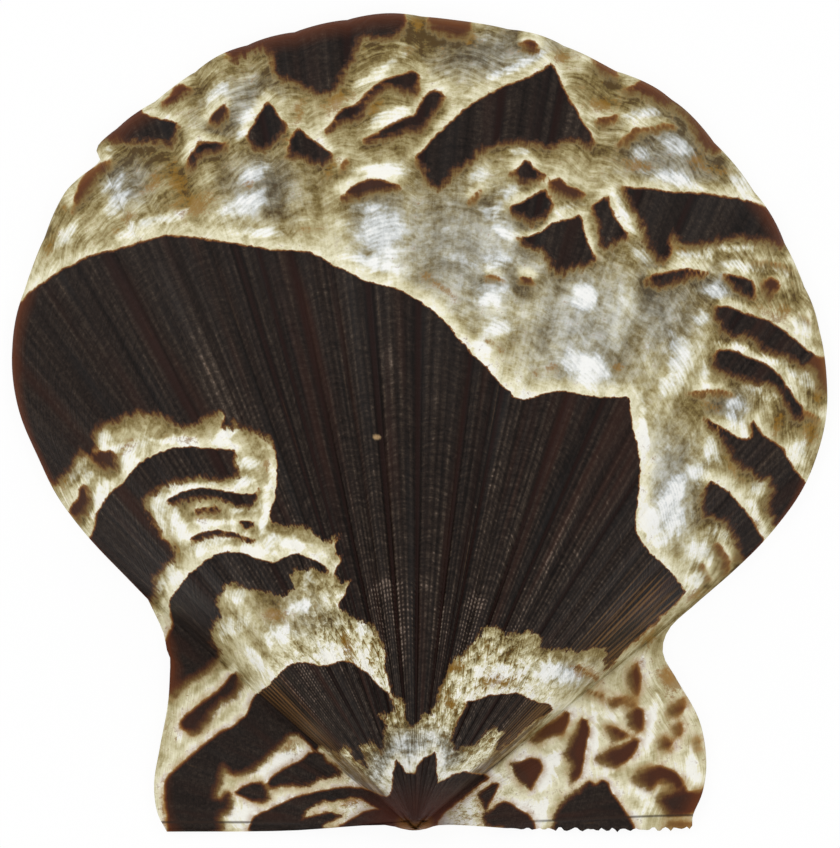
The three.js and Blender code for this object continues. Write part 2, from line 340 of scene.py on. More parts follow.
# The markings.
# Pigment that the edge laid down in zigzags and arches. Each outline is read off the photograph,
# as points round it. Tone 1 is nearly black, 0.7 dark red-brown, 0.5 brown and 0.3 golden.
MARKINGS = [
    # the great dark fan, from the left edge to the beak
    (1, [(-12.5, 16.3), (-12.3, 16.5), (-12.0, 16.8), (-11.7, 17.0), (-11.4, 17.2), (-11.0, 17.5),
        (-10.6, 17.65), (-10.2, 17.85), (-9.8, 18.0), (-9.4, 18.05), (-9.0, 18.15), (-8.6, 18.3),
        (-8.2, 18.42), (-7.8, 18.52), (-7.2, 18.5), (-6.6, 18.4), (-6.0, 18.33), (-5.4, 18.22),
        (-4.8, 18.13), (-4.4, 18.05), (-3.9, 18.05), (-3.3, 17.98), (-2.9, 17.8), (-2.5, 17.55),
        (-2.0, 17.35), (-1.6, 17.1), (-1.1, 16.95), (-0.6, 16.87), (-0.3, 16.72), (0, 16.55), (0.5, 16.2),
        (0.8, 15.95), (1.1, 15.6), (1.4, 15.25), (1.65, 14.95), (2.0, 14.6), (2.35, 14.25), (2.6, 13.95),
        (2.8, 13.72), (2.93, 13.68), (3.0, 13.5), (3.3, 13.4), (3.6, 13.45), (3.9, 13.55), (4.3, 13.64),
        (4.65, 13.67), (5.0, 13.6), (5.5, 13.5), (6.0, 13.47), (6.63, 13.47), (6.68, 13.1), (6.75, 12.5),
        (6.88, 12.1), (6.97, 11.6), (7.0, 11.2), (6.95, 10.7), (6.9, 10.2), (6.85, 9.7), (6.85, 9.35),
        (7.0, 9.05), (7.2, 8.75), (7.45, 8.5), (7.8, 8.2), (8.05, 7.95), (8.25, 7.65), (8.45, 7.4),
        (8.1, 7.05), (7.4, 6.4), (6.8, 5.85), (6.4, 5.45), (6.1, 5.15), (5.95, 5.0), (6.0, 5.35),
        (5.9, 5.6), (5.5, 5.65), (5.0, 5.6), (4.5, 5.65), (4.0, 5.65), (3.9, 5.75), (3.95, 6.0),
        (3.85, 6.15), (3.4, 6.18), (3.0, 6.15), (2.8, 6.1), (2.7, 6.3), (2.4, 6.38), (2.1, 6.3),
        (2.0, 6.1), (1.9, 5.95), (1.6, 5.75), (1.5, 5.5), (1.2, 5.4), (1.15, 5.1), (1.0, 4.9),
        (0.85, 4.6), (0.75, 4.3), (0.7, 4.05), (0.5, 3.7), (0.25, 3.6), (0.1, 3.4), (-0.1, 3.2),
        (-0.35, 3.5), (-0.25, 3.9), (-0.38, 4.05), (-0.7, 4.25), (-0.75, 4.5), (-0.78, 4.8), (-0.95, 5.1),
        (-0.9, 5.4), (-0.85, 5.6), (-1.0, 5.8), (-1.15, 6.1), (-1.2, 6.4), (-1.6, 6.6), (-2.0, 6.7),
        (-2.25, 6.85), (-2.35, 7.1), (-2.15, 7.35), (-2.1, 7.6), (-1.92, 7.84), (-2.25, 7.75),
        (-2.5, 7.9), (-2.4, 8.2), (-2.2, 8.65), (-2.45, 8.55), (-2.5, 8.95), (-2.1, 9.28), (-2.5, 9.15),
        (-2.75, 9.0), (-2.95, 9.1), (-3.2, 9.35), (-3.5, 9.47), (-3.8, 9.5), (-4.2, 9.45), (-4.45, 9.55),
        (-4.5, 9.8), (-4.4, 10.2), (-4.3, 10.6), (-4.25, 11.1), (-4.3, 11.6), (-4.35, 12.0), (-4.5, 12.2),
        (-4.9, 12.4), (-5.3, 12.5), (-5.52, 12.68), (-5.7, 12.55), (-6.0, 12.6), (-5.85, 13.0),
        (-6.0, 13.1), (-6.4, 12.9), (-6.7, 12.7), (-7.0, 12.55), (-7.3, 12.58), (-7.6, 12.75),
        (-7.9, 12.95), (-8.3, 13.02), (-8.8, 12.95), (-9.2, 12.8), (-9.6, 12.72), (-9.75, 12.65),
        (-9.95, 12.4), (-10.02, 12.15), (-9.95, 11.85), (-10.1, 11.6), (-10.4, 11.82), (-10.55, 11.6),
        (-10.7, 11.35), (-10.85, 11.15), (-11.05, 10.95), (-11.3, 10.75), (-12.2, 11.7), (-13, 13.5),
        (-13, 15.5)]),
    # top left
    (1, [(-9.75, 21.52), (-9.9, 22.0), (-9.2, 22.5), (-8.6, 22.6), (-8.5, 22.35), (-8.2, 22.25),
        (-7.9, 22.15), (-7.6, 22.1), (-7.45, 22.05), (-7.4, 21.9), (-7.5, 21.6), (-7.6, 21.35),
        (-7.9, 21.4), (-8.2, 21.45), (-8.6, 21.45), (-9.0, 21.45), (-9.4, 21.5)]),
    (0.8, [(-8.0, 22.65), (-7.7, 22.85), (-7.55, 23.15), (-7.3, 23.3), (-7.1, 23.2), (-7.0, 23.1),
        (-7.15, 22.95), (-7.4, 22.8), (-7.6, 22.65), (-7.8, 22.55)]),
    (0.62, [(-10.7, 19.2), (-10.65, 19.6), (-10.6, 19.9), (-10.45, 20.3), (-10.2, 20.62), (-9.9, 20.78),
        (-9.6, 20.88), (-9.4, 20.85), (-9.7, 20.5), (-9.9, 20.3), (-10.1, 20.0), (-10.3, 19.7),
        (-10.5, 19.4)]),
    (0.8, [(-6.42, 21.95), (-6.4, 22.2), (-6.2, 22.45), (-5.95, 22.6), (-5.8, 22.4), (-5.95, 22.1),
        (-6.1, 21.95)]),
    (0.92, [(-7.15, 20.6), (-7.05, 20.95), (-6.85, 21.2), (-6.75, 21.42), (-6.4, 21.42), (-6.1, 21.42),
        (-5.85, 21.42), (-5.95, 21.25), (-6.15, 21.1), (-6.4, 21.1), (-6.7, 20.95), (-6.9, 20.75),
        (-7.0, 20.55)]),
    (1, [(-5.25, 21.55), (-5.1, 21.85), (-4.9, 22.2), (-4.6, 22.72), (-4.42, 22.55), (-4.25, 22.2),
        (-4.03, 22.0), (-4.12, 21.7), (-4.35, 21.4), (-4.6, 21.2), (-5.0, 21.27)]),
    (0.95, [(-3.95, 21.0), (-3.9, 21.4), (-3.75, 21.75), (-3.62, 21.9), (-3.4, 21.65), (-3.0, 21.35),
        (-2.7, 21.15), (-2.55, 21.0), (-2.65, 20.85), (-2.9, 20.7), (-3.1, 20.75), (-3.4, 20.85),
        (-3.7, 20.95)]),
    # top
    (1, [(-6.0, 24.3), (-5.0, 25.0), (-3, 25.8), (-0.5, 26), (-0.28, 25.3), (-0.3, 25.1), (-0.5, 24.85),
        (-0.8, 24.7), (-1.2, 24.7), (-1.5, 24.75), (-1.75, 24.6), (-1.9, 24.3), (-2.0, 24.0),
        (-2.2, 23.7), (-2.3, 23.4), (-2.5, 23.1), (-2.9, 22.88), (-3.1, 22.95), (-3.3, 23.1),
        (-3.6, 23.25), (-3.9, 23.35), (-4.2, 23.45), (-4.37, 23.7), (-4.37, 24.0), (-4.47, 24.25),
        (-4.8, 24.37), (-5.3, 24.2), (-5.6, 24.0)]),
    (0.68, [(0.4, 25.6), (1.2, 25.6), (1.75, 25.4), (1.78, 25.05), (1.65, 24.8), (1.4, 24.65),
        (1.1, 24.7), (0.8, 24.8), (0.5, 24.95), (0.4, 25.1)]),
    (0.9, [(-2.8, 21.75), (-2.55, 22.1), (-2.3, 22.45), (-2.0, 22.55), (-1.8, 22.6), (-1.5, 23.0),
        (-1.2, 23.25), (-0.8, 23.45), (-0.4, 23.55), (-0.1, 23.66), (0.1, 23.6), (0.1, 23.3),
        (0.05, 22.95), (-0.2, 22.95), (-0.5, 23.05), (-0.9, 23.15), (-1.2, 22.9), (-1.5, 22.6),
        (-1.65, 22.3), (-1.9, 22.1), (-2.2, 22.05), (-2.5, 21.85), (-2.7, 21.65)]),
    (0.9, [(-1.6, 21.5), (-1.2, 21.7), (-0.8, 21.95), (-0.4, 22.15), (0, 22.3), (0.2, 22.7), (0.4, 22.95),
        (0.6, 23.05), (0.85, 23.0), (0.9, 22.8), (0.75, 22.55), (0.55, 22.3), (0.35, 22.0), (0.2, 21.75),
        (-0.1, 21.75), (-0.4, 21.7), (-0.8, 21.5), (-1.2, 21.42), (-1.5, 21.4)]),
    (0.78, [(-2.3, 19.65), (-2.15, 19.85), (-2.0, 20.02), (-1.7, 20.17), (-1.4, 20.26), (-1.1, 20.26),
        (-0.8, 20.17), (-0.45, 20.05), (-0.55, 19.95), (-0.9, 19.9), (-1.2, 19.85), (-1.6, 19.75),
        (-1.9, 19.65), (-2.2, 19.55)]),
    (0.5, [(-2.35, 20.45), (-2.3, 20.7), (-2.1, 20.95), (-1.98, 20.95), (-2.05, 20.7), (-2.2, 20.45)]),
    (1, [(0.0, 20.95), (0.3, 21.2), (0.5, 21.5), (0.8, 21.75), (1.1, 22.05), (1.5, 22.4), (1.9, 22.7),
        (2.3, 22.93), (2.7, 23.15), (3.1, 23.3), (3.5, 23.45), (3.9, 23.65), (4.1, 23.8), (4.25, 23.92),
        (4.37, 23.75), (4.47, 23.45), (4.65, 23.1), (4.8, 22.8), (5.0, 22.45), (5.2, 22.1), (5.37, 21.85),
        (5.5, 21.6), (5.55, 21.43), (5.45, 21.3), (5.3, 21.35), (5.0, 21.5), (4.7, 21.5), (4.4, 21.35),
        (4.1, 21.25), (3.8, 21.35), (3.4, 21.42), (3.0, 21.42), (2.7, 21.4), (2.4, 21.25), (2.1, 21.2),
        (1.9, 21.0), (1.7, 20.8), (1.5, 20.65), (1.2, 20.5), (1.0, 20.2), (0.7, 20.0), (0.4, 20.1),
        (0.3, 20.4), (0.3, 20.6), (0.1, 20.75)]),
    (0.5, [(1.6, 19.5), (1.8, 19.75), (2.05, 19.95), (2.1, 19.9), (1.95, 19.65), (1.75, 19.5)]),
    (0.75, [(3.25, 24.5), (3.5, 24.66), (3.75, 24.6), (3.9, 24.38), (3.75, 24.22), (3.5, 24.3)]),
    (0.65, [(5.5, 24.1), (5.9, 24.0), (6.3, 23.7), (6.35, 23.5), (6.2, 23.45), (5.9, 23.55),
        (5.65, 23.75)]),
    (0.95, [(2.95, 20.4), (3.2, 20.6), (3.4, 20.8), (3.5, 20.87), (3.65, 20.65), (3.9, 20.5),
        (4.05, 20.4), (3.8, 20.25), (3.5, 20.15), (3.2, 20.25)]),
    (0.97, [(2.95, 19.4), (3.3, 19.55), (3.6, 19.7), (3.85, 19.85), (4.0, 19.97), (4.1, 19.75),
        (4.3, 19.5), (4.2, 19.3), (4.0, 19.05), (3.6, 18.9), (3.3, 19.05), (3.05, 19.2)]),
    (0.7, [(4.1, 19.95), (4.2, 20.2), (4.5, 20.32), (4.7, 20.1), (5.1, 19.95), (5.3, 19.78), (5.0, 19.65),
        (4.6, 19.7), (4.4, 19.85)]),
    (1, [(3.15, 18.45), (3.6, 18.47), (4.0, 18.65), (4.3, 18.9), (4.6, 19.0), (4.9, 19.05), (5.15, 19.17),
        (5.2, 18.9), (5.3, 18.5), (5.4, 18.2), (5.5, 18.0), (5.63, 17.8), (5.55, 17.65), (5.3, 17.6),
        (5.0, 17.55), (4.7, 17.45), (4.5, 17.3), (4.3, 17.45), (4.2, 17.7), (4.0, 18.0), (3.8, 18.1),
        (3.5, 18.2), (3.3, 18.3)]),
    (1, [(5.5, 19.3), (5.6, 19.5), (5.8, 19.62), (6.0, 19.77), (6.05, 19.5), (6.15, 19.2), (6.3, 18.95),
        (6.5, 18.7), (6.7, 18.5), (6.5, 18.4), (6.2, 18.3), (6.0, 18.15), (5.8, 18.2), (5.75, 18.5),
        (5.75, 18.9), (5.6, 19.1)]),
    # right
    (0.72, [(6.5, 23.1), (6.8, 23.22), (7.1, 23.5), (8.0, 23.3), (8.9, 22.6), (9.6, 21.5), (9.55, 21.2),
        (9.4, 21.1), (9.1, 21.2), (8.9, 21.4), (8.75, 21.7), (8.6, 22.0), (8.4, 22.3), (8.1, 22.5),
        (7.8, 22.6), (7.5, 22.7), (7.3, 22.85), (6.9, 22.95), (6.6, 22.95)]),
    (0.6, [(5.6, 22.1), (5.75, 22.2), (6.1, 22.22), (6.35, 22.37), (6.3, 22.1), (6.0, 21.95),
        (5.75, 21.95)]),
    (0.55, [(6.25, 21.25), (6.4, 21.5), (6.6, 21.7), (6.85, 21.88), (7.2, 21.92), (7.5, 21.95),
        (7.8, 22.05), (8.1, 21.95), (8.1, 21.85), (7.8, 21.85), (7.4, 21.75), (7.0, 21.65), (6.7, 21.45),
        (6.5, 21.25)]),
    (1, [(6.4, 20.05), (6.8, 20.0), (7.2, 19.98), (7.6, 19.95), (7.8, 19.88), (8.2, 19.87), (8.6, 19.85),
        (9.0, 19.85), (9.4, 19.78), (9.8, 19.72), (10.2, 19.65), (10.6, 19.55), (10.9, 19.45),
        (11.05, 19.36), (11.5, 19.2), (11.7, 18.5), (11.5, 18.2), (11.2, 18.3), (10.8, 18.4),
        (10.2, 18.42), (9.6, 18.4), (9.0, 18.3), (8.6, 18.2), (8.2, 18.35), (8.0, 18.6), (7.9, 18.3),
        (7.98, 17.95), (7.75, 17.7), (7.55, 17.78), (7.35, 18.1), (7.15, 18.5), (7.0, 18.95),
        (6.85, 19.3), (6.65, 19.65)]),
    (0.9, [(7.15, 17.1), (7.4, 17.3), (7.8, 17.38), (8.2, 17.45), (8.6, 17.48), (8.9, 17.42),
        (9.2, 17.35), (9.0, 17.25), (8.6, 17.25), (8.2, 17.1), (7.9, 16.95), (7.6, 16.9), (7.3, 17.0)]),
    (0.95, [(9.65, 17.3), (9.9, 17.3), (10.2, 17.22), (10.5, 17.12), (10.62, 16.9), (10.6, 16.65),
        (10.5, 16.55), (10.3, 16.65), (10.1, 16.8), (9.85, 16.95), (9.7, 17.1)]),
    (0.7, [(10.8, 17.05), (10.9, 17.17), (11.1, 17.22), (11.3, 17.17), (11.4, 17.0), (11.3, 16.8),
        (11.1, 16.6), (11.0, 16.55), (10.9, 16.75)]),
    (0.4, [(10.5, 17.75), (10.8, 17.73), (11.2, 17.72), (11.5, 17.65), (11.85, 17.5), (11.8, 17.43),
        (11.4, 17.52), (11.0, 17.6), (10.6, 17.62)]),
    (0.33, [(11.9, 16.06), (12.2, 16.03), (12.37, 15.85), (12.3, 15.72), (12.1, 15.93)]),
    (1, [(9.3, 16.3), (9.5, 16.32), (9.8, 16.3), (10.1, 16.17), (10.5, 16.03), (10.9, 15.93),
        (11.2, 15.77), (11.5, 15.57), (11.8, 15.32), (12.1, 15.07), (12.3, 14.92), (12.5, 14.8),
        (12.35, 14.5), (12.1, 14.45), (12.0, 14.5), (11.8, 14.65), (11.6, 14.8), (11.4, 14.88),
        (11.1, 14.85), (10.9, 14.95), (10.7, 15.15), (10.5, 15.3), (10.2, 15.4), (9.9, 15.42),
        (9.6, 15.55), (9.45, 15.9)]),
    (0.62, [(12.3, 14.9), (12.5, 14.8), (12.7, 14.75), (13, 14.8), (13.1, 14.2), (13, 13.65),
        (12.82, 13.58), (12.6, 13.75), (12.5, 14.2), (12.3, 14.4), (12.1, 14.5)]),
    (1, [(9.35, 14.8), (9.5, 14.97), (9.8, 14.95), (10.1, 14.87), (10.4, 14.72), (10.8, 14.57),
        (11.1, 14.4), (11.4, 14.12), (11.6, 13.82), (11.8, 13.52), (12.0, 13.27), (12.15, 13.1),
        (12.1, 12.85), (11.9, 12.78), (11.6, 13.1), (11.5, 13.4), (11.4, 13.7), (11.2, 13.85),
        (10.9, 13.9), (10.6, 13.95), (10.3, 14.05), (10.0, 14.12), (9.7, 14.2), (9.4, 14.35),
        (9.3, 14.5)]),
    (0.42, [(12.0, 13.2), (12.2, 13.1), (12.5, 12.97), (12.67, 12.85), (12.62, 12.7), (12.4, 12.78),
        (12.1, 12.85)]),
    (0.6, [(8.4, 13.6), (8.7, 13.67), (9.1, 13.72), (9.5, 13.74), (9.8, 13.64), (9.9, 13.55),
        (9.5, 13.55), (9.1, 13.55), (8.7, 13.5)]),
    (1, [(9.0, 12.82), (9.3, 12.67), (9.6, 12.52), (9.9, 12.32), (10.1, 12.2), (10.3, 12.15),
        (10.5, 12.25), (10.45, 12.5), (10.53, 12.75), (10.67, 12.55), (10.8, 12.37), (11.0, 12.2),
        (11.3, 12.0), (11.5, 11.87), (11.6, 11.57), (11.8, 11.32), (12.0, 11.05), (12.12, 10.88),
        (12.3, 10.7), (12.2, 10.3), (11.8, 9.7), (11.35, 9.45), (11.1, 9.9), (11.0, 10.1), (11.15, 10.5),
        (11.15, 10.8), (11.0, 10.95), (10.7, 11.0), (10.5, 11.15), (10.2, 11.3), (10.0, 11.5),
        (9.85, 11.7), (9.7, 12.0), (9.5, 12.3), (9.25, 12.5)]),
    (1, [(9.08, 10.65), (9.17, 10.88), (9.35, 10.77), (9.5, 10.67), (9.8, 10.5), (10.0, 10.3),
        (10.2, 10.05), (10.4, 9.8), (10.57, 9.6), (10.7, 9.3), (10.9, 9.0), (10.8, 8.6), (10.4, 8.2),
        (10.2, 8.5), (10.1, 8.8), (10.05, 9.0), (9.9, 9.3), (9.8, 9.5), (9.6, 9.65), (9.3, 9.75),
        (9.0, 9.85), (8.95, 10.1), (9.0, 10.4)]),
    (0.6, [(9.35, 8.75), (9.4, 8.92), (9.57, 8.87), (9.72, 8.6), (9.83, 8.35), (9.82, 8.1), (9.65, 7.95),
        (9.6, 8.3), (9.45, 8.6)]),
    (0.45, [(8.85, 8.2), (8.95, 8.32), (9.07, 8.22), (9.17, 8.0), (9.27, 7.7), (9.1, 7.7), (9.05, 7.95)]),
    # middle
    (0.5, [(2.1, 17.2), (2.3, 17.3), (2.55, 17.25), (2.75, 17.05), (2.5, 17.1), (2.25, 17.15)]),
    (0.65, [(3.2, 17.15), (3.35, 17.25), (3.6, 17.2), (3.7, 17.05), (3.5, 16.95), (3.3, 17.0)]),
    # left arches
    (1, [(-5.65, 11.85), (-6.0, 11.87), (-6.5, 11.9), (-7.0, 11.93), (-7.5, 11.9), (-7.9, 11.75),
        (-8.3, 11.6), (-8.6, 11.4), (-8.8, 11.15), (-9.1, 10.8), (-9.5, 10.5), (-9.75, 10.15),
        (-9.95, 9.8), (-10.0, 9.4), (-10.1, 9.15), (-10.4, 8.9), (-9.3, 7.8), (-8.6, 7.2), (-8.25, 7.05),
        (-8.1, 7.3), (-8.15, 7.55), (-8.1, 7.9), (-7.85, 8.1), (-7.75, 8.35), (-7.55, 8.4), (-7.5, 8.8),
        (-7.7, 9.0), (-7.9, 9.1), (-8.0, 9.3), (-8.15, 9.6), (-8.25, 9.8), (-8.4, 10.0), (-8.42, 10.2),
        (-8.3, 10.4), (-8.1, 10.6), (-7.9, 10.7), (-7.6, 10.85), (-7.2, 10.9), (-6.8, 10.98),
        (-6.4, 10.95), (-6.0, 10.95), (-5.6, 11.0), (-5.45, 11.1), (-5.6, 11.3), (-5.65, 11.5),
        (-5.55, 11.7)]),
    (0.95, [(-7.65, 10.3), (-7.4, 10.45), (-7.0, 10.6), (-6.6, 10.68), (-6.2, 10.62), (-5.8, 10.53),
        (-5.4, 10.48), (-5.0, 10.47), (-4.75, 10.7), (-4.85, 10.45), (-5.0, 10.2), (-5.2, 10.08),
        (-5.5, 10.1), (-5.8, 10.22), (-6.2, 10.35), (-6.6, 10.38), (-7.0, 10.3), (-7.3, 10.22),
        (-7.65, 10.2)]),
    (0.88, [(-6.8, 9.98), (-6.5, 10.08), (-6.1, 10.07), (-6.1, 9.93), (-6.5, 9.9), (-6.8, 9.85)]),
    (0.9, [(-5.5, 9.64), (-5.0, 9.64), (-5.02, 9.45), (-5.3, 9.45)]),
    (0.85, [(-7.0, 9.07), (-6.6, 9.29), (-6.1, 9.37), (-5.6, 9.27), (-5.2, 9.12), (-5.0, 9.05),
        (-5.1, 8.95), (-5.5, 9.1), (-6.0, 9.2), (-6.5, 9.1), (-6.9, 8.95)]),
    (0.75, [(-10.1, 11.75), (-9.8, 11.8), (-9.5, 11.82), (-9.3, 11.67), (-9.27, 11.3), (-9.5, 11.2),
        (-9.8, 11.3), (-10.05, 11.45)]),
    (0.75, [(-10.35, 10.77), (-10.2, 10.6), (-10.13, 10.2), (-10.3, 9.9), (-10.5, 9.6), (-10.85, 9.9),
        (-10.7, 10.15), (-10.52, 10.35), (-10.45, 10.65)]),
    (1, [(-7.62, 7.2), (-7.3, 7.62), (-7.05, 7.95), (-6.7, 8.22), (-6.5, 8.4), (-6.2, 8.57), (-5.8, 8.67),
        (-5.5, 8.67), (-5.2, 8.57), (-4.9, 8.47), (-4.5, 8.38), (-4.3, 8.37), (-4.1, 8.5), (-3.8, 8.6),
        (-3.6, 8.62), (-3.3, 8.53), (-3.0, 8.37), (-2.75, 8.2), (-2.7, 8.05), (-2.8, 8.0), (-3.1, 8.15),
        (-3.3, 8.2), (-3.45, 8.15), (-3.75, 8.1), (-3.9, 7.85), (-3.78, 7.6), (-3.9, 7.45), (-4.1, 7.35),
        (-4.3, 7.3), (-4.6, 7.42), (-5.0, 7.48), (-5.3, 7.55), (-5.6, 7.7), (-5.75, 7.72), (-5.95, 7.55),
        (-6.1, 7.3), (-6.15, 7.0), (-6.05, 6.85), (-6.05, 6.65), (-6.2, 6.5), (-6.3, 6.3), (-6.37, 6.0),
        (-6.3, 5.8), (-6.1, 5.55), (-6.15, 5.3), (-6.35, 5.15), (-6.5, 5.0), (-6.7, 4.85), (-6.9, 4.75),
        (-7.2, 4.6), (-7.4, 4.4), (-7.6, 4.15), (-8, 4.3), (-8, 5.5), (-7.78, 5.95), (-7.55, 6.3),
        (-7.6, 6.6), (-7.67, 7.0)]),
    # left ear and the small dark fan next to it
    (0.9, [(-5.5, 4.8), (-5.6, 4.92), (-5.75, 4.77), (-5.95, 4.52), (-6.2, 4.27), (-6.5, 4.07),
        (-6.8, 3.87), (-7.0, 3.67), (-7.3, 3.45), (-7.35, 3.2), (-7.1, 3.05), (-6.9, 3.0), (-6.7, 3.2),
        (-6.5, 3.4), (-6.3, 3.7), (-6.1, 3.95), (-5.8, 4.1), (-5.6, 4.25), (-5.5, 4.5)]),
    (1, [(-7.8, 1.5), (-7.6, 1.77), (-7.2, 2.1), (-6.9, 2.37), (-6.6, 2.62), (-6.3, 2.87), (-6.0, 3.07),
        (-5.7, 3.17), (-5.5, 3.37), (-5.3, 3.52), (-5.15, 3.8), (-5.05, 4.05), (-4.95, 4.22),
        (-4.7, 4.37), (-4.5, 4.57), (-4.2, 4.87), (-3.95, 5.1), (-3.7, 5.22), (-3.4, 5.24), (-3.1, 5.17),
        (-2.9, 5.12), (-2.6, 5.17), (-2.4, 5.27), (-2.1, 5.3), (-1.9, 5.22), (-1.7, 5.07), (-1.5, 4.92),
        (-1.35, 4.75), (-1.1, 4.5), (-0.85, 4.3), (-0.72, 4.05), (-0.6, 3.8), (-0.8, 3.65), (-1.15, 3.65),
        (-0.9, 3.4), (-0.9, 3.1), (-0.95, 2.7), (-1.03, 2.35), (-1.2, 2.6), (-1.45, 2.78), (-1.7, 2.6),
        (-1.55, 2.3), (-1.5, 1.95), (-1.7, 2.15), (-1.9, 2.2), (-2.0, 2.5), (-2.15, 2.65), (-2.4, 2.37),
        (-2.7, 2.5), (-2.9, 2.6), (-3.1, 2.45), (-3.3, 2.7), (-3.6, 2.95), (-3.9, 2.95), (-4.1, 2.8),
        (-4.4, 2.5), (-4.6, 2.3), (-4.8, 2.1), (-5.1, 1.9), (-5.4, 1.75), (-5.7, 1.75), (-6.0, 2.0),
        (-6.1, 1.6), (-6.2, 1.3), (-6.3, 1.0), (-6.1, 0.95), (-5.85, 1.1), (-5.75, 0.9), (-5.85, 0.6),
        (-6.1, 0.5), (-6.1, 0.2), (-6.05, -0.3), (-7.72, -0.3), (-7.72, 0.4), (-7.8, 0.9)]),
    (0.97, [(-5.6, 1.15), (-5.4, 1.3), (-5.1, 1.42), (-4.8, 1.45), (-4.65, 1.3), (-4.6, 1.0),
        (-4.75, 0.85), (-5.1, 0.9), (-5.3, 1.0)]),
    (0.95, [(-4.6, 1.45), (-4.4, 1.67), (-4.1, 1.87), (-3.8, 2.02), (-3.5, 2.17), (-3.3, 2.37),
        (-3.1, 2.42), (-2.9, 2.35), (-2.7, 2.1), (-2.5, 2.0), (-2.25, 1.75), (-2.4, 1.65), (-2.7, 1.65),
        (-3.0, 1.6), (-3.3, 1.4), (-3.6, 1.35), (-3.9, 1.4), (-4.2, 1.35), (-4.4, 1.3), (-4.6, 1.35)]),
    (1, [(-5.0, 0.4), (-4.6, 0.57), (-4.2, 0.77), (-3.8, 0.97), (-3.4, 1.07), (-3.0, 1.17), (-2.5, 1.27),
        (-2.0, 1.3), (-1.6, 1.27), (-1.3, 1.17), (-1.0, 1.05), (-0.7, 0.95), (-0.5, 0.6), (-1.0, 0.6),
        (-1.4, 0.8), (-1.7, 0.98), (-2.0, 1.05), (-2.2, 0.92), (-2.5, 0.87), (-2.8, 0.9), (-3.1, 0.8),
        (-3.4, 0.55), (-3.55, 0.3), (-3.0, 0.45), (-2.6, 0.53), (-2.3, 0.42), (-2.7, 0.25), (-2.9, 0.12),
        (-3.0, -0.3), (-5.25, -0.3), (-5.15, 0.1)]),
    (0.97, [(-1.95, 0.3), (-1.65, 0.5), (-1.3, 0.6), (-0.9, 0.65), (-0.6, 0.4), (-0.7, -0.2),
        (-1.5, -0.1), (-2.5, -0.1), (-2.4, 0.08)]),
    # round the beak
    (0.9, [(-0.85, 0.15), (-1.1, 0.5), (-1.0, 0.8), (-0.72, 1.2), (-0.68, 1.7), (-0.58, 2.22),
        (-0.45, 2.05), (-0.3, 1.8), (0, 1.8), (0.1, 2.1), (0.3, 2.27), (0.5, 2.37), (0.6, 2.45),
        (0.65, 2.2), (0.65, 1.9), (0.72, 1.5), (0.9, 1.57), (1.2, 1.72), (1.5, 1.82), (1.8, 1.77),
        (2.1, 1.72), (2.3, 1.6), (2.0, 1.4), (1.7, 1.15), (1.4, 0.92), (1.1, 0.7), (0.85, 0.5),
        (0.7, 0.3), (0.5, -0.3), (-0.5, -0.3)]),
    (0.95, [(1.5, 4.05), (1.8, 4.02), (2.0, 4.12), (2.3, 4.22), (2.6, 4.24), (2.9, 4.24), (3.2, 4.3),
        (3.4, 4.2), (3.5, 3.9), (3.3, 3.5), (3.1, 3.1), (2.85, 2.8), (2.6, 2.45), (2.45, 2.5), (2.7, 2.9),
        (2.8, 3.05), (2.6, 3.17), (2.4, 3.2), (2.2, 3.1), (2.0, 2.85), (1.9, 2.65), (1.6, 2.6),
        (1.3, 2.5), (1.12, 2.8), (1.2, 3.1), (1.3, 3.4), (1.5, 3.7), (1.6, 3.9)]),
    (0.95, [(3.3, 4.25), (3.6, 4.07), (3.9, 3.97), (4.1, 3.92), (4.3, 3.8), (4.1, 3.6), (3.7, 3.4),
        (3.4, 3.2), (3.1, 2.85), (2.9, 2.6), (2.75, 2.7), (3.0, 3.1), (3.2, 3.6)]),
    # right ear and its hinge
    (0.62, [(3.6, 2.8), (3.9, 3.12), (4.2, 3.32), (4.5, 3.47), (4.7, 3.7), (4.85, 3.6), (4.72, 3.2),
        (4.6, 2.97), (4.3, 2.9), (4.0, 2.8), (3.8, 2.65)]),
    (0.72, [(5.1, 3.2), (5.2, 3.47), (5.4, 3.37), (5.42, 3.0), (5.32, 2.6), (5.27, 2.3), (5.22, 1.9),
        (5.1, 1.6), (4.9, 1.5), (4.85, 1.8), (4.95, 2.05), (4.75, 2.25), (4.7, 2.4), (4.85, 2.7),
        (5.0, 2.95)]),
    (0.72, [(3.0, 2.05), (3.3, 2.12), (3.6, 2.22), (3.87, 2.17), (3.97, 1.9), (3.8, 1.6), (3.6, 1.25),
        (3.5, 1.3), (3.3, 1.5), (3.1, 1.75)]),
    (0.9, [(2.6, 1.42), (2.4, 1.42), (2.2, 1.27), (2.0, 1.1), (2.1, 0.8), (2.2, 0.6), (2.35, 0.9),
        (2.5, 1.15)]),
    (0.9, [(2.15, 0.45), (2.4, 0.62), (2.6, 0.77), (2.8, 0.87), (3.0, 0.77), (3.2, 0.62), (3.5, 0.47),
        (3.7, 0.22), (3.78, -0.2), (3.4, -0.2), (3.0, -0.05), (2.6, 0.08), (2.2, 0.12), (2.12, 0.3)]),
    (0.97, [(4.35, 0.35), (4.5, 0.62), (4.6, 0.87), (4.8, 1.02), (5.1, 1.17), (5.3, 1.37), (5.45, 1.47),
        (5.65, 1.37), (5.85, 1.52), (6.0, 1.42), (6.1, 1.17), (6.3, 0.92), (6.5, 0.62), (6.65, 0.37),
        (6.8, 0.15), (6.95, -0.3), (4.25, -0.3), (4.35, 0.2)]),
    (0.85, [(7.6, 0.97), (7.8, 1.07), (8.1, 1.22), (8.5, 1.17), (8.85, 1.17), (9.2, 1.4), (9.1, 0.7),
        (8.65, 0.5), (8.3, 0.42), (7.95, 0.42), (7.8, 0.65)]),
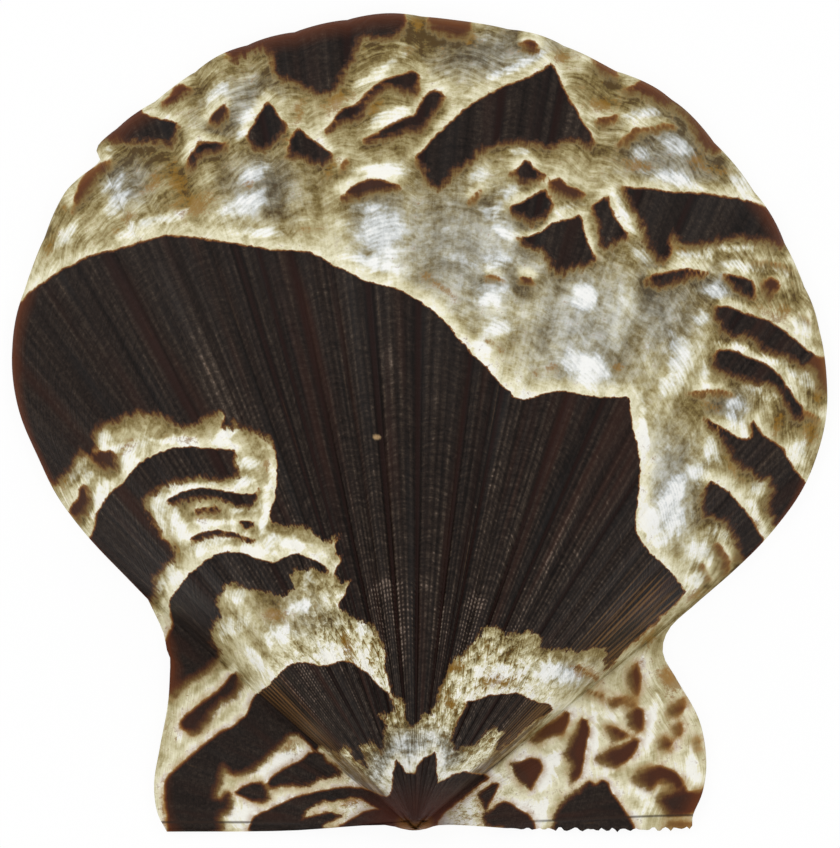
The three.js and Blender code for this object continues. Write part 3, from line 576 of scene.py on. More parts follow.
    (0.45, [(7.9, 0.27), (8.8, 0.27), (8.8, 0.0), (7.8, 0.05)]),
    (0.72, [(6.85, 1.57), (7.0, 1.77), (7.3, 1.92), (7.6, 1.99), (7.9, 1.92), (8.1, 1.82), (8.3, 1.62),
        (8.42, 1.37), (8.5, 1.2), (8.1, 1.15), (8.0, 1.4), (7.8, 1.5), (7.6, 1.5), (7.5, 1.35),
        (7.35, 1.25), (7.2, 1.35), (7.0, 1.45)]),
    (0.72, [(5.7, 2.2), (5.9, 2.37), (6.2, 2.52), (6.5, 2.62), (6.8, 2.82), (7.0, 2.87), (6.97, 2.6),
        (6.82, 2.35), (6.6, 2.1), (6.3, 1.98), (6.0, 2.05)]),
    (0.66, [(6.0, 3.2), (6.3, 3.17), (6.5, 3.07), (6.65, 2.97), (6.5, 2.8), (6.2, 2.8), (6.1, 3.0)]),
    (0.66, [(6.8, 3.77), (6.95, 3.82), (7.12, 3.72), (7.17, 3.4), (7.1, 3.1), (6.9, 3.1), (6.7, 3.25),
        (6.65, 3.5)]),
    (0.62, [(6.05, 4.05), (6.5, 4.12), (6.8, 4.22), (6.75, 4.5), (6.65, 4.8), (6.8, 5.1), (6.95, 5.2),
        (7.05, 4.9), (7.07, 4.5), (6.95, 4.2), (6.75, 4.0), (6.4, 3.87), (6.1, 3.85)]),
    (0.55, [(7.95, 3.6), (7.95, 3.77), (8.2, 3.97), (8.4, 4.15), (8.5, 4.0), (8.42, 3.7), (8.2, 3.55)]),
    (0.55, [(8.05, 2.95), (8.1, 3.2), (8.3, 3.32), (8.42, 3.1), (8.3, 2.9)]),
    (0.6, [(7.6, 2.7), (7.8, 2.87), (8.0, 2.77), (8.1, 2.6), (7.95, 2.5), (7.7, 2.5)]),
    (0.42, [(8.75, 2.7), (8.85, 2.87), (9.02, 2.7), (8.97, 2.55), (8.8, 2.55)]),
    (0.33, [(7.75, 4.85), (8.0, 5.0), (8.05, 4.8), (7.85, 4.7)]),
    (0.5, [(4.7, 5.1), (5.1, 5.17), (5.4, 4.9), (5.75, 4.75), (5.7, 4.65), (5.35, 4.8), (5.05, 5.05)]),
    (0.45, [(5.2, 4.5), (5.6, 4.3), (6.0, 4.2), (5.9, 4.05), (5.5, 4.2)]),
]

FIELD_REACH = 1.3  # how far from an outline its field is still told
FACING_BLEND = 0.15  # how near a side of an outline has to be to tell which way it faces


def marking_fields(x, y):
    """Per point: signed distance into the nearest marking, its tone, and which way its edge faces:
    1 where the edge faces the far edge of the shell, -1 where it faces the beak."""
    depth = np.full(len(x), -FIELD_REACH)
    tone = np.ones(len(x))
    facing = np.zeros(len(x))
    weights = np.full(len(x), 1e-6)
    places = np.column_stack([x, y])
    for marking_tone, outline in MARKINGS:
        corners = np.array(outline, float)
        ends = np.roll(corners, -1, axis=0)
        low, high = corners.min(0) - FIELD_REACH, corners.max(0) + FIELD_REACH
        near = np.flatnonzero(((places > low) & (places < high)).all(axis=1))
        local = places[near]
        nearest = np.full(len(near), FIELD_REACH)
        inside = np.zeros(len(near), bool)
        turns = np.sign((corners[:, 0] * ends[:, 1] - ends[:, 0] * corners[:, 1]).sum())
        for corner, end in zip(corners, ends):
            side = end - corner
            length = math.hypot(*side)
            away = local - corner
            share = np.clip(away @ side / length**2, 0, 1)
            gap = np.hypot(*(away - share[:, None] * side).T)
            nearest = np.minimum(nearest, gap)
            middle = (corner + end) / 2
            outward = turns * (side[1] * middle[0] - side[0] * middle[1])
            weight = length * np.exp(-gap / FACING_BLEND)
            facing[near] += weight * outward / (length * math.hypot(*middle))
            weights[near] += weight
            if side[1] != 0:
                level = (away[:, 1] < 0) != (local[:, 1] < end[1])
                inside ^= level & (away[:, 0] < side[0] * away[:, 1] / side[1])
        signed = np.where(inside, nearest, -nearest)
        wins = signed > depth[near]
        depth[near[wins]] = signed[wins]
        tone[near[wins]] = marking_tone
    return depth, tone, facing / weights


# Soft clouds in the pale ground, each as x, y, half length, half width and its direction in degrees.
WHITE_CLOUDS = [
    (-6.9, 10.72, 1.1, 0.13, 5), (-5.4, 10.0, 0.4, 0.12, 0), (-6.3, 9.6, 0.9, 0.12, 0),
    (-6.0, 9.15, 0.9, 0.1, 5), (-7.7, 10.7, 0.4, 0.2, 30), (-7.9, 9.6, 0.2, 0.6, 20),
    (-4.7, 9.6, 0.14, 0.9, -6), (-5.0, 8.75, 0.9, 0.2, -5), (-3.6, 8.9, 0.7, 0.16, -10),
    (-6.6, 8.75, 0.6, 0.18, 30), (-9.1, 11.95, 0.6, 0.14, 25), (-7.6, 12.15, 0.9, 0.14, 3),
    (-6.2, 12.1, 0.5, 0.14, 0), (-8.0, 7.6, 0.2, 0.5, -35), (-10.3, 10.9, 0.16, 0.4, -40),
    (12.0, 15.9, 0.6, 0.16, -42), (12.3, 14.0, 0.6, 0.18, -55), (10.3, 17.5, 0.9, 0.12, -8),
    (9.9, 15.1, 0.7, 0.13, -12), (11.2, 14.6, 0.6, 0.12, -35), (10.6, 9.9, 0.14, 0.5, 30),
    (8.9, 16.0, 0.3, 0.3, 0), (9.0, 14.2, 0.2, 0.4, 0), (8.8, 17.9, 0.8, 0.14, -3),
    (-9.3, 20.3, 0.6, 0.3, 50), (-9.3, 19.6, 0.6, 0.3, 50), (-8.2, 18.9, 1.3, 0.25, 20),
    (-10.9, 18.6, 0.8, 0.2, 55), (-6.2, 23.0, 0.6, 0.2, 35), (-5.3, 22.0, 0.7, 0.2, 65),
    (-5.0, 20.4, 0.6, 0.2, 30), (-5.3, 19.5, 0.8, 0.4, 20), (-4.9, 18.6, 1.0, 0.18, 0),
    (-9.6, 21.25, 0.25, 0.15, 0), (-1.3, 23.5, 1.3, 0.22, 35), (-0.8, 22.25, 0.9, 0.2, 25),
    (-1.2, 20.6, 0.9, 0.2, 0), (-1.1, 18.6, 0.8, 0.9, 0), (-1.3, 17.6, 1.1, 0.3, -15),
    (-1.4, 19.4, 0.6, 0.2, 0), (3.0, 23.75, 1.3, 0.18, 27), (3.3, 21.15, 0.4, 0.13, 0),
    (2.0, 20.4, 0.4, 0.3, 30), (2.9, 19.95, 0.5, 0.2, 15), (2.4, 19.2, 0.5, 0.3, 0),
    (2.8, 18.5, 0.6, 0.15, -40), (2.4, 17.65, 0.6, 0.25, 0), (2.3, 16.7, 0.6, 0.4, 0),
    (2.5, 15.6, 0.6, 0.25, 0), (2.0, 15.1, 0.5, 0.25, -45), (7.2, 22.35, 0.8, 0.18, 10),
    (8.0, 21.5, 0.8, 0.3, -35), (7.2, 21.1, 0.5, 0.3, 0), (8.0, 20.3, 1.2, 0.22, -15),
    (10.2, 20.0, 0.6, 0.3, -40), (4.8, 19.4, 0.6, 0.15, 15), (6.45, 19.3, 0.9, 0.13, -62),
    (6.9, 18.0, 0.7, 0.13, -40), (5.3, 16.6, 0.5, 0.5, 0), (5.3, 14.4, 0.9, 0.5, -20),
    (9.3, 16.8, 0.4, 0.3, 0), (9.8, 18.15, 0.9, 0.13, 0), (10.0, 17.6, 0.6, 0.2, -10),
    (11.3, 17.45, 0.5, 0.15, -20), (12.05, 15.7, 0.6, 0.22, -50), (11.8, 14.25, 0.65, 0.22, -42),
    (10.6, 13.8, 0.5, 0.15, -10), (11.1, 13.5, 0.4, 0.2, 0), (10.0, 13.3, 0.4, 0.25, 0),
    (8.2, 14.8, 0.5, 0.9, 0), (7.8, 13.8, 0.3, 0.3, 0), (10.0, 12.7, 0.65, 0.22, -48),
    (9.3, 11.8, 0.3, 0.5, 15), (12.0, 11.7, 0.3, 0.5, 15), (7.1, 12.6, 0.16, 1.0, 4),
    (8.1, 10.6, 0.4, 0.6, 0), (8.8, 11.1, 0.4, 0.3, -30), (7.4, 9.5, 0.4, 0.8, 20),
    (9.5, 9.3, 0.5, 0.25, -35), (10.75, 10.7, 0.25, 0.35, 0), (10.6, 10.0, 0.15, 0.35, 30),
    (9.1, 8.6, 0.3, 0.35, 0), (8.7, 7.8, 0.35, 0.3, 0), (-9.7, 12.2, 0.25, 0.45, -15),
    (-8.8, 11.7, 0.35, 0.7, -40), (-7.9, 10.3, 0.4, 0.7, -30), (-7.4, 9.6, 0.3, 0.8, 25),
    (-5.9, 12.35, 0.5, 0.22, 25), (-5.1, 11.45, 0.4, 0.25, 0), (-5.3, 10.85, 0.6, 0.2, 10),
    (-4.6, 10.4, 0.15, 1.0, -8), (-4.6, 8.95, 0.9, 0.28, 10), (-6.4, 8.95, 0.9, 0.25, 25),
    (-7.6, 7.9, 0.4, 0.45, -30), (-10.6, 11.2, 0.2, 0.6, -35), (-9.8, 10.4, 0.25, 0.8, -25),
    (-5.7, 6.4, 0.6, 0.35, 30), (-4.2, 6.1, 0.5, 0.35, 0), (-2.7, 5.6, 0.5, 0.35, 0),
    (-4.9, 5.2, 0.8, 0.25, -47), (-3.5, 7.0, 0.35, 0.2, 20), (-1.6, 6.3, 0.35, 0.25, 30),
    (-5.5, 7.3, 0.4, 0.3, 0), (-3.3, 7.85, 0.3, 0.25, 50), (-6.3, 3.7, 1.4, 0.22, 38),
    (-5.5, 0.5, 0.4, 0.6, 20), (-4.3, 2.1, 0.9, 0.2, 30), (7.2, 1.1, 0.6, 0.5, -30),
    (5.6, 2.9, 0.15, 1.0, 3), (7.4, 3.3, 0.2, 1.1, -10), (4.2, 1.9, 0.25, 0.9, -25),
    (3.9, 0.5, 0.25, 0.6, -10), (4.5, 4.9, 0.9, 0.35, -10), (2.6, 5.0, 0.8, 0.3, 0),
    (6.0, 3.6, 0.5, 0.25, 0), (8.7, 1.9, 0.25, 0.8, 10), (7.9, 9.9, 0.5, 0.8, 20),
    (8.9, 8.7, 0.4, 0.5, 0), (6.0, 1.8, 0.5, 0.2, 20),
]
GREY_CLOUDS = [
    (-4.0, 20.1, 1.4, 0.5, 10), (-3.5, 19.3, 1.5, 0.4, 0), (-8.3, 21.0, 0.9, 0.4, 10),
    (-7.2, 20.0, 0.9, 0.9, 50), (-6.8, 22.4, 0.5, 0.3, 50), (-4.7, 23.9, 0.4, 0.6, 0),
    (0.7, 24.2, 1.6, 0.5, 0), (1.7, 18.9, 1.1, 1.1, 0), (0.9, 17.9, 0.9, 0.9, 0),
    (0.5, 19.2, 1.3, 0.4, 0), (3.8, 17.0, 0.9, 0.9, 0), (3.7, 15.4, 1.0, 0.6, 0),
    (5.3, 23.0, 0.9, 0.6, -40), (6.2, 20.9, 0.8, 0.8, 0), (7.3, 16.4, 0.8, 0.9, 20),
    (7.9, 16.0, 0.9, 0.8, 0), (6.9, 15.1, 0.5, 0.6, 0), (8.4, 18.0, 0.9, 0.2, 0),
    (11.6, 16.7, 0.5, 0.4, 0), (8.6, 13.2, 0.9, 0.5, 0), (8.0, 11.8, 0.5, 0.5, 0),
    (9.2, 14.3, 0.3, 0.5, 0), (9.0, 9.6, 0.4, 0.9, 25), (-8.5, 12.75, 0.9, 0.2, 10),
    (-6.9, 9.95, 1.0, 0.3, 0), (0, 2.7, 1.2, 0.5, 0), (1.4, 2.2, 0.9, 0.4, 10), (-1.5, 1.9, 0.6, 0.7, 40),
    (-3.2, 6.4, 0.8, 0.5, 10), (-4.6, 7.0, 0.6, 0.3, 0), (2.5, 5.6, 1.2, 0.5, 0),
    (7.4, 5.4, 0.3, 0.8, -15), (-6.4, 4.7, 0.9, 0.18, 38), (-7.6, 3.6, 0.2, 0.9, -8),
    (7.9, 15.0, 0.9, 0.9, 0), (5.4, 15.6, 0.8, 0.4, 0), (7.9, 17.0, 0.8, 0.3, 0),
]
GOLD_CLOUDS = [
    (-9.3, 18.65, 0.25, 0.15, 50), (-8.9, 19.1, 0.3, 0.15, 40), (-5.2, 20.1, 0.25, 0.14, 40),
    (-6.9, 19.5, 0.9, 0.4, 20), (-8.1, 20.2, 0.5, 0.2, 40), (-7.4, 20.2, 0.3, 0.6, 20),
    (-2.4, 22.75, 0.5, 0.3, 30), (-3.6, 22.4, 0.2, 0.5, -20), (5.9, 22.6, 0.5, 0.25, -10),
    (7.0, 20.7, 0.5, 0.2, -10), (11.0, 16.1, 0.6, 0.14, -30), (9.2, 13.2, 0.5, 0.16, -10),
    (-9.0, 11.9, 0.5, 0.2, 20), (-6.2, 11.2, 0.5, 0.1, 0), (1.2, 5.15, 0.3, 0.2, 0),
    (-11.4, 18.2, 0.12, 0.4, -20), (-11.0, 19.4, 0.12, 0.15, 0), (-5.8, 24.1, 0.4, 0.12, 0),
    (-3.3, 18.7, 0.5, 0.15, 0), (-0.2, 24.3, 0.2, 0.12, 0), (0.1, 25.2, 0.3, 0.3, 0),
    (-2.6, 20.7, 0.2, 0.4, -30), (-2.5, 22.5, 0.5, 0.3, 30), (-1.3, 22.6, 0.4, 0.3, 40),
    (0.4, 17.2, 0.2, 0.3, 20), (0.8, 16.9, 0.7, 0.12, -35), (2.3, 15.2, 0.2, 0.12, -30),
    (2.65, 14.95, 0.15, 0.12, -60), (3.8, 14.25, 0.2, 0.1, 0), (4.3, 14.4, 0.3, 0.15, 30),
    (6.3, 14.4, 0.2, 0.2, -45), (1.6, 24.7, 0.3, 0.25, 0), (4.6, 24.1, 0.3, 0.2, 0),
    (9.3, 20.6, 0.6, 0.13, -15), (8.8, 20.9, 0.25, 0.4, -40), (8.3, 18.2, 0.4, 0.25, 0),
    (7.9, 17.9, 0.25, 0.15, 0), (11.5, 16.2, 0.3, 0.15, -20), (12.6, 13.7, 0.2, 0.5, 0),
    (12.3, 12.4, 0.3, 0.4, 0), (11.3, 12.6, 0.2, 0.5, -20), (9.9, 11.4, 0.2, 0.5, 30),
    (10.6, 9.4, 0.15, 0.5, -15), (-7.2, 12.2, 0.7, 0.12, 0), (-8.9, 12.1, 0.3, 0.12, 30),
    (-6.5, 9.68, 0.4, 0.1, 0), (-4.6, 11.3, 0.12, 0.4, 0), (-7.4, 8.7, 0.1, 0.4, 20),
    (-4.3, 6.7, 0.5, 0.3, 0), (-2.1, 5.7, 0.15, 0.5, 10), (-3.9, 2.6, 0.3, 0.3, 0),
    (-2.0, 0.95, 0.3, 0.25, 0), (2.5, 4.7, 0.6, 0.25, 0), (1.1, 4.0, 0.2, 0.3, 30),
    (8.7, 7.3, 0.4, 0.2, 35), (7.3, 6.0, 0.5, 0.25, 40), (8.0, 4.6, 0.4, 0.5, 0),
    (5.3, 4.9, 0.6, 0.25, -10), (-11.0, 10.9, 0.25, 0.12, 45), (-7.8, 0.5, 0.1, 0.4, 10),
]

# Painted highlights: stretches of rib crest within the dark fan painted paler, where light catches them
SHEEN_CLOUDS = [
    (-4.05, 18.05, 1.3, 0.16, 102.5), (-6.0, 13.6, 2.6, 0.5, 114), (-0.85, 7.6, 0.35, 0.3, 0),
    (0.2, 7.7, 0.25, 0.35, 0), (2.0, 7.1, 0.25, 0.3, 70), (-0.4, 6.2, 0.9, 0.16, 92),
    (0.75, 6.3, 0.8, 0.2, 83), (-0.75, 14.6, 0.6, 0.12, 93), (3.1, 9.2, 2.2, 0.14, 71),
    (4.4, 8.9, 2.4, 0.12, 64),
]

# Where the ground is a neutral grey rather than cream
COOL_CLOUDS = [
    (1.6, 18.0, 3.2, 2.4, -20), (5.2, 15.6, 2.4, 2.6, 0), (8.0, 10.8, 1.0, 2.0, 5),
    (-1.0, 18.8, 1.2, 1.6, 0), (-4.8, 20.0, 1.4, 1.2, 0), (-5.5, 22.6, 1.6, 0.9, 30),
    (8.0, 20.8, 1.8, 1.6, -30), (2.5, 24.2, 2.4, 0.8, 10), (7.6, 16.2, 1.4, 1.6, 0),
    (0.4, 2.7, 1.6, 0.8, 0), (-3.0, 6.6, 1.6, 1.0, 0), (-8.9, 20.2, 0.9, 0.9, 40),
    (9.8, 13.2, 0.8, 0.6, 0), (9.4, 17.0, 1.2, 0.6, 0), (4.6, 4.9, 1.4, 0.5, 0),
]
# A small scrape through the dark fan, in the same terms
SCRAPED_SPOT = (-1.2, 12.27, 0.17, 0.09, -10)
# Direction in degrees, half width, and the distances from the beak where it fades and is gone
CREASES = [(41.5, 0.22, 3.5, 7), (136.5, 0.2, 2.5, 5)]


def cloud_field(clouds):
    """1 in the middle of each cloud, dying away round it."""
    cover = np.zeros(len(spot))
    for middle_x, middle_y, half_long, half_wide, turn in clouds:
        cosine, sine = math.cos(math.radians(turn)), math.sin(math.radians(turn))
        right, up = x - middle_x, y - middle_y
        lengthwise = (right * cosine + up * sine) / half_long
        crosswise = (up * cosine - right * sine) / half_wide
        cover = np.maximum(cover, np.exp(-((lengthwise**2 + crosswise**2) ** 1.2)))
    return cover


def store(name, values):
    """Values for each point of the mesh, which the material reads by name."""
    mesh.attributes.new(name, "FLOAT", "POINT").data.foreach_set(
        "value", np.asarray(values, np.float32)
    )


for name, values in zip(("depth", "tone", "facing"), marking_fields(x, y)):
    store(name, values)
clouds = {
    "white": WHITE_CLOUDS, "grey": GREY_CLOUDS, "gold": GOLD_CLOUDS, "cool": COOL_CLOUDS,
    "sheen": SHEEN_CLOUDS, "chip": [SCRAPED_SPOT],
}
for name, places in clouds.items():
    store(name, cloud_field(places))
store("inside", np.arange(len(spot)) >= outer_count)
store("ear", (around < FRONT_FLANK) | (around > REAR_FLANK))
store("from_edge", np.clip(edge_distance(x, y) - reach, 0, None))

furrow = np.zeros(len(spot))
for furrow_direction, half_width, strength in FURROWS:
    away = (around - furrow_direction) / half_width
    furrow = np.maximum(furrow, strength * np.exp(-(away**2)))
store("furrow", furrow)

# The flanks of the dome next to the ears are rusty, and each has a crease a few degrees inside it.
front_flank = smoothstep(56 - around, 0, 12) * smoothstep(around, 37, 39)
rear_flank = smoothstep(around, 127, 136) * smoothstep(140 - around, 0, 2) * (reach < 8)
flank = np.maximum(front_flank * (1 - smoothstep(reach, 10, 12.5)), rear_flank)
store("flank", flank * smoothstep(reach, 1.5, 4))
crease = np.zeros(len(spot))
for crease_direction, half_width, fades_from, gone_by in CREASES:
    gap = reach * np.sin(np.radians(around - crease_direction))
    same_side = x * math.cos(math.radians(crease_direction)) > 0
    fade = 1 - smoothstep(reach, fades_from, gone_by)
    crease = np.maximum(crease, np.exp(-((gap / half_width) ** 2)) * fade * same_side)
store("crease", crease)


class Wire:
    """A shader socket that takes part in arithmetic."""

    def __init__(self, shader, socket):
        self.shader, self.socket = shader, socket

    def math(self, operation, *others):
        inputs = dict(enumerate((self, *others)))
        return self.shader.add("ShaderNodeMath", {"operation": operation}, inputs)

    def __add__(self, other):
        return self.math("ADD", other)

    def __sub__(self, other):
        return self.math("SUBTRACT", other)

    def __rsub__(self, other):
        return (self * -1) + other

    def __mul__(self, other):
        return self.math("MULTIPLY", other)

    def __truediv__(self, other):
        return self.math("DIVIDE", other)

    __radd__, __rmul__ = __add__, __mul__

    def sine(self):
        return self.math("SINE")

    def ramp(self, low, high):
        """0 below low and 1 above high, with an even curve between."""
        inputs = {"Value": self, "From Min": low, "From Max": high}
        return self.shader.add(
            "ShaderNodeMapRange", {"interpolation_type": "SMOOTHSTEP"}, inputs
        )


class Shader:
    """A material's node tree, filled in by expressions."""

    def __init__(self, name):
        self.material = bpy.data.materials.new(name)
        self.material.use_nodes = True
        self.tree = self.material.node_tree
        self.surface = self.tree.nodes["Principled BSDF"]

    def add(self, kind, settings=None, inputs=None, output=0):
        node = self.tree.nodes.new(kind)
        for name, value in (settings or {}).items():
            setattr(node, name, value)
        for name, value in (inputs or {}).items():
            self.put(node.inputs[name], value)
        return Wire(self, node.outputs[output])

    def put(self, socket, value):
        if isinstance(value, Wire):
            self.tree.links.new(value.socket, socket)
        else:
            socket.default_value = value

    def attribute(self, name):
        return self.add("ShaderNodeAttribute", {"attribute_name": name}, output="Fac")

    def noise(self, vector, scale, detail=2.0, roughness=0.5):
        inputs = {"Vector": vector, "Scale": scale, "Detail": detail, "Roughness": roughness}
        return self.add("ShaderNodeTexNoise", {}, inputs)

    def grown(self, across, along, detail=2.0, roughness=0.5):
        """Noise that follows the ribs and the growth."""
        vector = self.add("ShaderNodeCombineXYZ", {}, {"X": across, "Y": along})
        return self.noise(vector, 1.0, detail, roughness)

    def part(self, vector, axis):
        return self.add("ShaderNodeSeparateXYZ", {}, {0: vector}, output=axis)

    def mix(self, factor, first, second):
        inputs = {0: factor, 6: first, 7: second}
        return self.add("ShaderNodeMix", {"data_type": "RGBA"}, inputs, output=2)

    def ramp_colours(self, factor, stops):
        ramp = self.add("ShaderNodeValToRGB", {}, {"Fac": factor})
        elements = ramp.socket.node.color_ramp.elements
        while len(elements) < len(stops):
            elements.new(0.5)
        for element, (position, colour) in zip(elements, stops):
            element.position, element.color = position, colour
        return ramp


def srgb(red, green, blue):
    """A colour as a screen shows it, 0 to 255, in the scene's linear units."""

    def linear(value):
        value /= 255
        return value / 12.92 if value <= 0.04045 else ((value + 0.055) / 1.055) ** 2.4

    return (linear(red), linear(green), linear(blue), 1.0)


THREADS = 190  # growth threads from the beak to the edge
RIBLETS = 5  # to each rib
shell = Shader("shell")
place = shell.add("ShaderNodeTexCoord", output="Object")
millimetres = shell.add(
    "ShaderNodeVectorMath", {"operation": "MULTIPLY"}, {0: place, 1: (1 / MILLIMETRE,) * 3}
)
growth = shell.add("ShaderNodeUVMap", {"uv_map": "growth"})
ribs = shell.part(growth, "X")
age = shell.part(growth, "Y")
depth = shell.attribute("depth")
tone = shell.attribute("tone")
facing = shell.attribute("facing")
inside = shell.attribute("inside")
from_edge = shell.attribute("from_edge")
ear = shell.attribute("ear")
furrow = shell.attribute("furrow")
flank = shell.attribute("flank")
crease = shell.attribute("crease")
sheen = shell.attribute("sheen")

# Growth threads run along each old edge, and riblets run out from the beak across them.
bow = (ribs * math.pi).sine().math("ABSOLUTE")
drift = (shell.noise(millimetres, 0.6, 2) - 0.5) * 0.03 - bow * 0.006
threads = shell.grown(ribs * 1.6, (age + drift) * THREADS, 3, 0.65)
bands = shell.grown(ribs * 0.7, (age + drift) * 17, 2, 0.6)
bars = shell.grown(ribs * 0.85, (age + drift) * 62, 2, 0.5)
riblet_noise = shell.grown(ribs * 9, age * 5, 3, 0.7)
strands = shell.grown(ribs * 3.4, age * 6, 2, 0.7)
# painted sheen, lighter and darker from rib to rib, for the dark pigment and the beads
rib_sheen = shell.grown(ribs * 1.3, age * 1.5, 2, 0.6)
hue = shell.grown(ribs * 1.6, age * 2.5)
riblets = (ribs * (2 * math.pi * RIBLETS)).sine() * 0.5 + 0.5
thread_wave = ((age + drift * 0.3) * (2 * math.pi * THREADS)).sine() * 0.5 + 0.5
grain = shell.noise(millimetres, 9.0, 4, 0.8)
mottle = shell.noise(millimetres, 1.2, 3, 0.6)
fleck = shell.noise(millimetres, 3.6, 4, 0.65)
# Beads where riblets cross threads: relief in the bump, and painted highlights in the dark pigment's
# colour, stronger where the sheen is painted
early = age.ramp(0.17, 0.3) * (1 - age.ramp(0.303, 0.318))
beads = riblets * thread_wave * (early * 0.8 + (1 - age.ramp(0.3, 0.55)) * 0.25)
beads = beads * (0.35 + rib_sheen.ramp(0.42, 0.62) + sheen * 0.6) * (1 - ear * 0.8)

# How much of the pigment there is, 0 to 1, from the distance into a marking. Its edge is crisp
# towards the far edge of the shell and dies away softly towards the beak.
trailing = 1 - facing.ramp(-0.5, 0.35)
softness = 0.05 + trailing * (0.03 + age.ramp(0.35, 0.7) * 0.18) + inside * 0.25
softness = softness + ear * 0.03 + age.ramp(0.65, 0.85) * 0.035
ragged = (fleck - 0.5) * (0.18 + trailing * 0.32) + (threads - 0.5) * (0.06 + trailing * 0.12)
ragged = ragged * (1 - ear * 0.4)
combed = (riblet_noise - 0.5) * (0.05 + trailing * 0.35) * (1 - ear * 0.6)
spread = 0.02 + ear * 0.02 + trailing * age.ramp(0.4, 0.7) * 0.07
cover = ((depth + ragged + combed + spread) / softness).ramp(-0.65, 1.25)
thinned = 1 - (1 - from_edge.ramp(0, 0.35)) * 0.3
pigment = cover * tone * thinned

# The pale ground: cream, with white and bluish clouds, grey-olive shadows and golden flecks.
white = shell.attribute("white") + (bars - 0.5) * 1.7 + (fleck - 0.5) * 0.5 + (bow - 0.65) * 0.25
white = white.ramp(0.2, 1.0) * (1 + (thread_wave - 0.5) * 0.3)
grey = (shell.attribute("grey") * 0.9 - (bars - 0.5) * 1.2).ramp(0.15, 0.95)
gold = shell.attribute("gold")
ahead = depth.ramp(-0.55, -0.05) * facing.ramp(-0.1, 0.5)
behind = depth.ramp(-0.75, 0.0) * trailing
feathered = 1 - age.ramp(0.22, 0.42)
sway = (fleck - 0.5) * 2.4
zigzag = (ribs * (2 * math.pi * 1.7) + sway * 2).sine() * 0.5
weave = shell.grown(ribs * 0.6 + sway * 0.3, age * 66 + zigzag + sway * 0.8, 1, 0.4)
scales = (weave - 0.5).math("ABSOLUTE").ramp(0.0, 0.08)
first = 1 - age.ramp(0.09, 0.16)
late = age.ramp(0.72, 0.95)
arches = age.ramp(0.3, 0.4) * (1 - age.ramp(0.6, 0.75))
plain = 1 - ear * 0.3
light = (
    0.46
    + (scales - 0.75) * feathered * plain * (1 - first) * 0.45
    + (strands - 0.5) * feathered * plain * 0.7
    + (bow - 0.65) * (1 - feathered) * 0.06
    + (riblets - 0.5) * first * plain * 0.35
    - first * plain * 0.1
    + (bands - 0.5) * (0.8 - feathered * 0.4) * plain
    + (threads - 0.5) * (0.42 + late * 0.5) * plain
    + (grain - 0.5) * 0.5 * plain
    + (fleck - 0.5) * (0.7 + feathered * 1.6) * plain
    + (riblet_noise - 0.5) * 0.3 * plain
    + (mottle - 0.5) * 0.9
    + white * 0.42
    + ahead * 0.3
    + ear * 0.2
    + feathered * 0.2
    + arches * 0.09
    - late * 0.09
    - grey * 0.12
    - behind * (0.26 - ear * 0.2)
)
warm_ground = shell.ramp_colours(light, [
    (0.0, srgb(82, 62, 30)),
    (0.2, srgb(126, 108, 62)),
    (0.4, srgb(166, 152, 108)),
    (0.55, srgb(195, 185, 144)),
    (0.7, srgb(220, 213, 178)),
    (0.85, srgb(240, 235, 206)),
    (1.0, srgb(250, 248, 238)),
])
cool_ground = shell.ramp_colours(light, [
    (0.0, srgb(84, 78, 64)),
    (0.2, srgb(120, 116, 102)),
    (0.4, srgb(154, 153, 143)),
    (0.55, srgb(182, 183, 178)),
    (0.7, srgb(206, 209, 208)),
    (0.85, srgb(229, 231, 229)),
    (1.0, srgb(248, 248, 245)),
])
cool = shell.attribute("cool") * 0.7
coolness = cool * (0.8 - feathered * 0.5) + white * 0.34 + (fleck - 0.5) * 0.8 - ahead * 0.4
coolness = coolness - feathered * 0.15 + first * plain * 0.7 - ear * 0.2
ground = shell.mix(coolness.ramp(0.0, 0.85), warm_ground, cool_ground)
gilding = gold * 0.9 + (fleck - 0.5) * 2.2 + (mottle - 0.5) * 0.9 + late * 0.1 - white * 0.3
gilding = gilding + (1 - scales) * feathered * (1 - first) * 0.5 + (grain - 0.5) * 2.6
gilding = gilding + (ear * 0.12 + arches * 0.08) * plain - (fleck - 0.5) * feathered * 4
ground = shell.mix(gilding.ramp(0.25, 1.05) * 0.8, ground, srgb(138, 98, 22))
ground = shell.mix(crease.ramp(0.1, 0.8) * 0.65, ground, srgb(128, 94, 48))
amber = ear * depth.ramp(-0.3, 0.0) * (0.45 + (fleck - 0.5) * 2.0).ramp(0, 0.6)
ground = shell.mix(amber * 0.7, ground, srgb(158, 108, 44))
streaks = (crease * 0.9 + (strands - 0.5) * 3.4).ramp(0.25, 0.9) * crease.ramp(0.05, 0.4)
ground = shell.mix(streaks * 0.7, ground, srgb(62, 42, 22))

# The pigment: nearly black, and rusty on the flanks. Painted light and shade give it paler riblets
# and threads, highlights on the beads and sheen stretches, and shade in the furrows, tinted red.
dark_light = (
    0.35
    + (riblets - 0.5) * 0.3 * (1 - ear) * (1.2 - age * 0.8)
    + (riblet_noise - 0.5) * (0.85 - ear * 0.4)
    + (threads - 0.5) * (0.9 + riblets * 0.5 - ear * 0.5) * (1 - age.ramp(0.4, 0.7) * 0.5)
    + (grain - 0.5) * 1.2
    + (rib_sheen - 0.5) * 0.5
    + beads * 0.4
    + sheen * 0.22
    - furrow * 0.55
)
darkest = shell.ramp_colours(dark_light, [
    (0.0, srgb(13, 6, 3)),
    (0.35, srgb(34, 25, 20)),
    (0.6, srgb(53, 43, 35)),
    (0.8, srgb(80, 68, 58)),
    (1.0, srgb(128, 110, 98)),
])
darkest = shell.mix(hue.ramp(0.5, 0.75) * 0.45, darkest, srgb(58, 30, 20))
